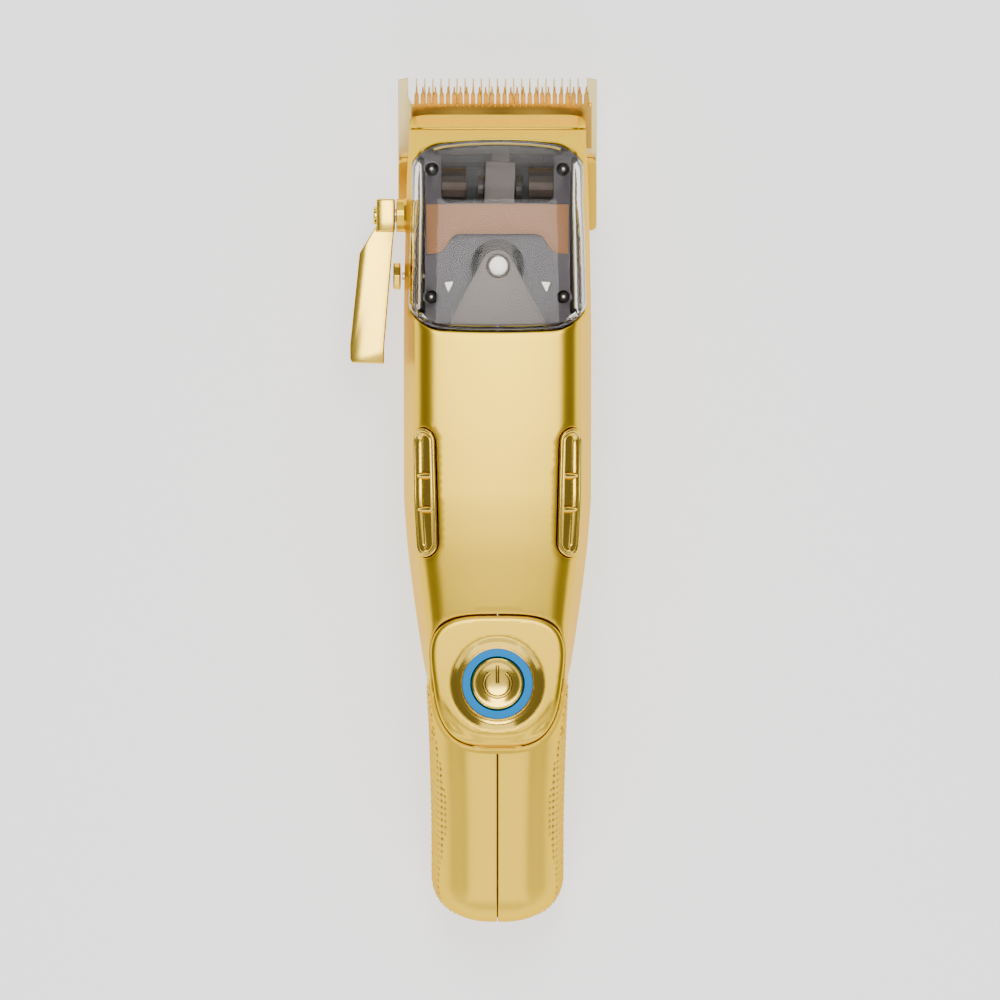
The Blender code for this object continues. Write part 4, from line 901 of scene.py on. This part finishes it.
def plate(name, outline, low, high, place=None, bevel=0.12, segments=2, shape=None):
    """Extrude an outline and bevel its sharp edges; place it with a matrix in millimetres."""
    bm = bmesh.new()
    verts = [bm.verts.new((x, y, low)) for x, y in outline]
    face = bm.faces.new(verts)
    made = bmesh.ops.extrude_face_region(bm, geom=[face])
    top = [v for v in made["geom"] if isinstance(v, bmesh.types.BMVert)]
    bmesh.ops.translate(bm, vec=(0, 0, high - low), verts=top)
    if shape:
        for vertex in bm.verts:
            vertex.co = shape(vertex.co)
    bmesh.ops.recalc_face_normals(bm, faces=bm.faces)
    if bevel:
        sharp = [e for e in bm.edges if len(e.link_faces) == 2 and e.calc_face_angle(0) > math.radians(25)]
        bmesh.ops.bevel(bm, geom=sharp, offset=bevel, segments=segments, profile=0.5, affect="EDGES",
                        clamp_overlap=True)
    bmesh.ops.transform(bm, matrix=Matrix.Scale(MM, 4) @ (place or Matrix.Identity(4)), verts=bm.verts)
    mesh = bpy.data.meshes.new(name)
    bm.to_mesh(mesh)
    bm.free()
    obj = bpy.data.objects.new(name, mesh)
    bpy.context.collection.objects.link(obj)
    smooth_by_angle(obj)
    return obj


def comb(half, rear, root, tip, count, pitch, root_width, tip_width, neck, shift=0.0):
    outline = [(-half + shift, rear), (half + shift, rear), (half + shift, root)]
    for k in reversed(range(count)):
        centre = (k - (count - 1) / 2) * pitch + shift
        tooth = [(root_width / 2, root), (root_width * 0.46, root + (tip - root) * neck),
                 (tip_width * 0.72, root + (tip - root) * (neck + 0.14)), (tip_width / 2, tip)]
        outline += [(centre + x, y) for x, y in tooth] + [(centre - x, y) for x, y in reversed(tooth)]
    return outline + [(-half + shift, root)]


ROOT = along_blade(35.7)
needles = comb(18.9, -32.0, ROOT, -0.15, 21, 1.8, 0.5, 0.26, 0.45)
ear_notch = along_blade(37.5)
fixed = [(-22.1, -32), (22.1, -32), (22.1, -0.5), (19.9, 0.0), (19.9, ear_notch), (18.95, ROOT)] + needles[3:-1]
fixed += [(-18.95, ROOT), (-19.9, ear_notch), (-19.9, 0.0), (-22.1, -0.5)]


def thin_tips(co):
    """The underside rises towards the tips, as it is ground."""
    if co.z < -1.0 and co.y > -6:
        co.z = -2.6 + 2.1 * min(1.0, (co.y + 7.0) / 7.0)
    return co


fixed_blade = plate("fixed_blade_ground", fixed, -2.6, 0.0, BLADE_FRAME, 0.08, 1, thin_tips)
finish_piece(fixed_blade, pale_blade, "blade_set", "fixed_blade", slot="blade_steel")
SHIFT = 28.6 * math.sin(math.radians(1.75))
CUT_ROOT, CUT_TIP = along_blade(36.5), along_blade(40.35)
moving = comb(20.1, CUT_TIP - 14.0, CUT_ROOT, CUT_TIP, 28, 1.4, 1.08, 0.3, 0.55, SHIFT)


def ground_top(co):
    if co.z > 1.5 and co.y > CUT_ROOT - 0.1:
        co.z = 2.1 - 1.3 * min(1.0, (co.y - CUT_ROOT) / (CUT_TIP - CUT_ROOT))
    return co


cutter = plate("cutter_ground", moving, 0.3, 2.1, BLADE_FRAME, 0.08, 1, ground_top)
finish_piece(cutter, blade_gold, "cutter", "cutter_blade", slot="polished_gold")

# %% [markdown]
# ## The taper lever
# The lever is a cast arm with a square hub. It is drawn as two outlines, each extruded and bevelled so that
# its flat faces meet in bright edges.

# %% Lever arm and hub
LEVER_Y, LEVER_Z = 11.4, 21.0
hub_outline = [(-26.9, 7.7), (-22.8, 7.7), (-22.8, 15.1), (-26.9, 15.1)]


hub = plate("lever_hub", hub_outline, 17.0, 25.0, None, 0.45, 3)
arm_outline = [(-26.9, 7.9), (-23.0, 7.9), (-23.2, 6.1), (-25.2, -18.0), (-25.2, -21.6), (-32.4, -21.4),
               (-32.8, -20.4), (-32.8, -17.3), (-30.7, 3.0), (-26.9, 9.2)]


arm = plate("lever_arm_cast", arm_outline, 19.8, 24.6, None, 0.45, 3)
for piece in (hub, arm):
    finish_piece(piece, polished_gold, "lever", "lever_arm", slot="polished_gold")
turned("lever_cap", rounded_profile([(0, -0.7), (2.0, -0.7), (2.0, 0.3), (0, 0.3)], 0.3), (-26.9, LEVER_Y, LEVER_Z),
       polished_gold, "lever", "lever_screw", axis="X", slot="polished_gold", steps=40, closed=False)

# %% [markdown]
# ## Plates behind the window
# A bronze-painted band crosses the motor, and a bead-blasted badge plate, left plain here, points at the
# pivot. They are stampings: outlines with soft corners, extruded by the thickness of the sheet.

# %% Bronze band and blasted plate
def smooth_curve(a, b, steps=10):
    """Points of an S-shaped step from a to b."""
    points = []
    for k in range(steps + 1):
        t = k / steps
        eased = t * t * (3 - 2 * t)
        points.append((a[0] + (b[0] - a[0]) * t, a[1] + (b[1] - a[1]) * eased))
    return points


right_edge = [(8.6, 7.1)] + smooth_curve((9.2, 6.9), (12.6, 3.2)) + [(13.4, 2.75), (15.7, 2.7), (15.75, 13.6)]
band_outline = right_edge + [(8.0, 13.75), (0.0, 13.8), (-8.0, 13.75)] + [(-x, y) for x, y in reversed(right_edge)]
bridge = plate("bronze_band", band_outline, 39.3, 40.0, None, 0.15, 2)
finish_piece(bridge, bronze, "casing", "bridge_plate", slot="bronze")
APEX_RADIUS, BASE = 3.5, (10.7, -12.5)
apex = [(APEX_RADIUS * math.cos(t), APEX_RADIUS * math.sin(t))
        for t in np.linspace(math.radians(26), math.radians(154), 30)]
badge = plate("blasted_badge", [BASE] + apex + [(-BASE[0], BASE[1])], 40.1, 40.75, None, 0.12, 2)
finish_piece(badge, blasted, "casing", "chip_plate", slot="blasted_steel")
turned("pivot_disc", rounded_profile([(0, 0), (2.35, 0), (2.35, 0.45), (2.1, 0.75), (0, 0.8)], 0.15), (0.2, 0, 40.7),
       steel, "casing", "pivot_cap", steps=48, slot="steel", closed=False)
# A thin dark ring round the foot of the disc is painted shade.
turned("pivot_shade_ring", [(2.4, 0), (2.75, 0), (2.7, 0.12), (2.45, 0.12)], (0.2, 0, 40.7), painted_crease_shade, "casing", steps=48)
# The dot is the bright point painted as a highlight; the head is painted dark as the shade of its well.
SCREW_GLINT_DOT = [(0, -0.12), (0.3, -0.18), (0.45, -0.34), (0.45, -0.6), (0, -0.6)]
SCREW_HEAD = [(0, -0.35), (0.35, -0.4), (0.5, -0.62), (0.85, -0.62), (1.2, -0.8), (1.45, -1.2), (1.5, -1.9),
              (0, -1.9)]
# Each screw is a head painted dark as well shade, with a bright steel dot on it painted as its highlight.
for row, x, y in (("front", 14.5, 21.35), ("rear", 14.6, -6.9)):
    surface = between(BARREL, y)[1] - (0.6 if row == "front" else 0.0)
    for side, word in ((-1, "left"), (1, "right")):
        name = "lid_screw_%s_%s" % (row, word)
        turned(name + "_head", SCREW_HEAD, (side * x, y, surface), well_shade_steel, "casing", name, steps=36, slot="steel",
               closed=False)
        turned(name + "_painted_glint", SCREW_GLINT_DOT, (side * x, y, surface), steel, "casing", steps=24, closed=False)
for side in (-1, 1):
    tab = [(side * 9.6, -3.4), (side * 11.8, -3.6), (side * 10.9, -6.0)]
    finish_piece(plate("spring_tab_%d" % side, tab, 40.6, 40.9, None, 0.08, 1), steel, "casing")

# %% [markdown]
# ## Pieces that keep their solid
# Inner parts already have their true shape. They get a welded, lightly bevelled surface and a finish.

# %% Dress the remaining solids
# The motor's cores, arm, magnets and coils and the tension spring take finishes darkened as painted shade.
LOOKS = {
    "inner_cover": dark_plastic, "switch_board": board_green, "tact_switch": black_plastic,
    "switch_plunger": black_plastic, "battery_cell": cell_wrap, "battery_cradle": black_plastic,
    "control_board": board_green, "charge_board": board_green, "charge_socket": black_plastic,
    "charge_contact_left": polished_gold, "charge_contact_right": polished_gold, "motor_frame": black_plastic,
    "core_left": shade_darkened_steel, "core_right": shade_darkened_steel, "coil_left": shade_darkened_coil, "coil_right": shade_darkened_coil,
    "drive_arm": shade_darkened_steel, "arm_magnet_left": shade_darkened_steel, "arm_magnet_right": shade_darkened_steel, "pivot_pin": steel,
    "drive_pin": steel,
    "cutter_guide": black_plastic, "tension_spring": shade_darkened_steel, "blade_carriage": satin_gold,
    "blade_screw_left": steel, "blade_screw_right": steel, "lever_shaft": steel, "lever_bushing": satin_gold,
    "detent_knob": polished_gold, "detent_stud": steel,
}
for name, look in LOOKS.items():
    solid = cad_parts[name]
    solid.data.materials.clear()
    solid.data.materials.append(look)
    weld = solid.modifiers.new("weld", "WELD")
    weld.merge_threshold = 0.000002
    bevel = solid.modifiers.new("edge", "BEVEL")
    bevel.width = 0.00012
    bevel.segments = 2
    bevel.limit_method = "ANGLE"
    bevel.angle_limit = math.radians(40)

# %% [markdown]
# ## Studio
# A pale floor, one broad soft light overhead and a dimmer one behind give metal something to reflect:
# bright level faces, dark rounded corners, warm sides.

# %% Floor, lights and camera
low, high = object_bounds()
bpy.ops.object.select_all(action="DESELECT")
bpy.ops.mesh.primitive_plane_add(size=6.0, location=(0, 0, low[2] - 0.0002))
floor = bpy.context.object
floor.name = "studio_floor"
floor_look = bpy.data.materials.new("pale floor")
floor_look.use_nodes = True
floor_shader = floor_look.node_tree.nodes["Principled BSDF"]
floor_shader.inputs["Base Color"].default_value = (0.88, 0.88, 0.88, 1)
floor_shader.inputs["Roughness"].default_value = 0.9
floor_shader.inputs["Emission Color"].default_value = (1, 1, 1, 1)
floor_shader.inputs["Emission Strength"].default_value = 1.1
floor.data.materials.append(floor_look)


def softbox(name, place, target, width, depth, radiance):
    """A rectangular light of an even brightness, aimed at a point."""
    light = bpy.data.lights.new(name, "AREA")
    light.shape = "RECTANGLE"
    light.size, light.size_y = width, depth
    light.energy = radiance * math.pi * width * depth
    obj = bpy.data.objects.new(name, light)
    obj.location = place
    obj.rotation_euler = (Vector(target) - Vector(place)).to_track_quat("-Z", "Y").to_euler()
    obj.visible_camera = False
    bpy.context.collection.objects.link(obj)
    return obj


# Straight above the barrel; it ends short of the pod, so the casing darkens towards it.
softbox("overhead", (0, 0.10, 0.5), (0, 0.10, 0), 0.20, 0.32, 8.0)
# A weaker one lifts the pod, and a low one behind lifts the end of the handle.
softbox("over_pod", (0, -0.17, 0.5), (0, -0.10, 0), 0.26, 0.18, 0.9)
softbox("low_behind", (0, -0.7, 0.12), (0, -0.14, 0.02), 0.7, 0.3, 1.2)
# Behind, for the handle, which leans back by twenty degrees.
softbox("behind", (0, -0.48, 0.42), (0, -0.12, 0.03), 0.7, 0.42, 2.2)
for side in (-1, 1):
    softbox("behind_side_%d" % side, (side * 0.5, -0.55, 0.22), (0, -0.13, 0.03), 0.5, 0.4, 1.3)
softbox("front", (0, 0.6, 0.30), (0, 0.03, 0.02), 0.6, 0.3, 1.9)
world = bpy.data.worlds.new("studio")
world.use_nodes = True
world.node_tree.nodes["Background"].inputs["Color"].default_value = (1, 1, 1, 1)
world.node_tree.nodes["Background"].inputs["Strength"].default_value = 0.2
bpy.context.scene.world = world

camera = bpy.data.cameras.new("camera")
camera.sensor_width = 36
eye = Vector((0.00056, -0.0519, 6.0))
camera.lens = 36 * (eye.z - 0.03) / 0.2222
view = bpy.data.objects.new("camera", camera)
view.location = eye
bpy.context.collection.objects.link(view)
bpy.context.scene.camera = view
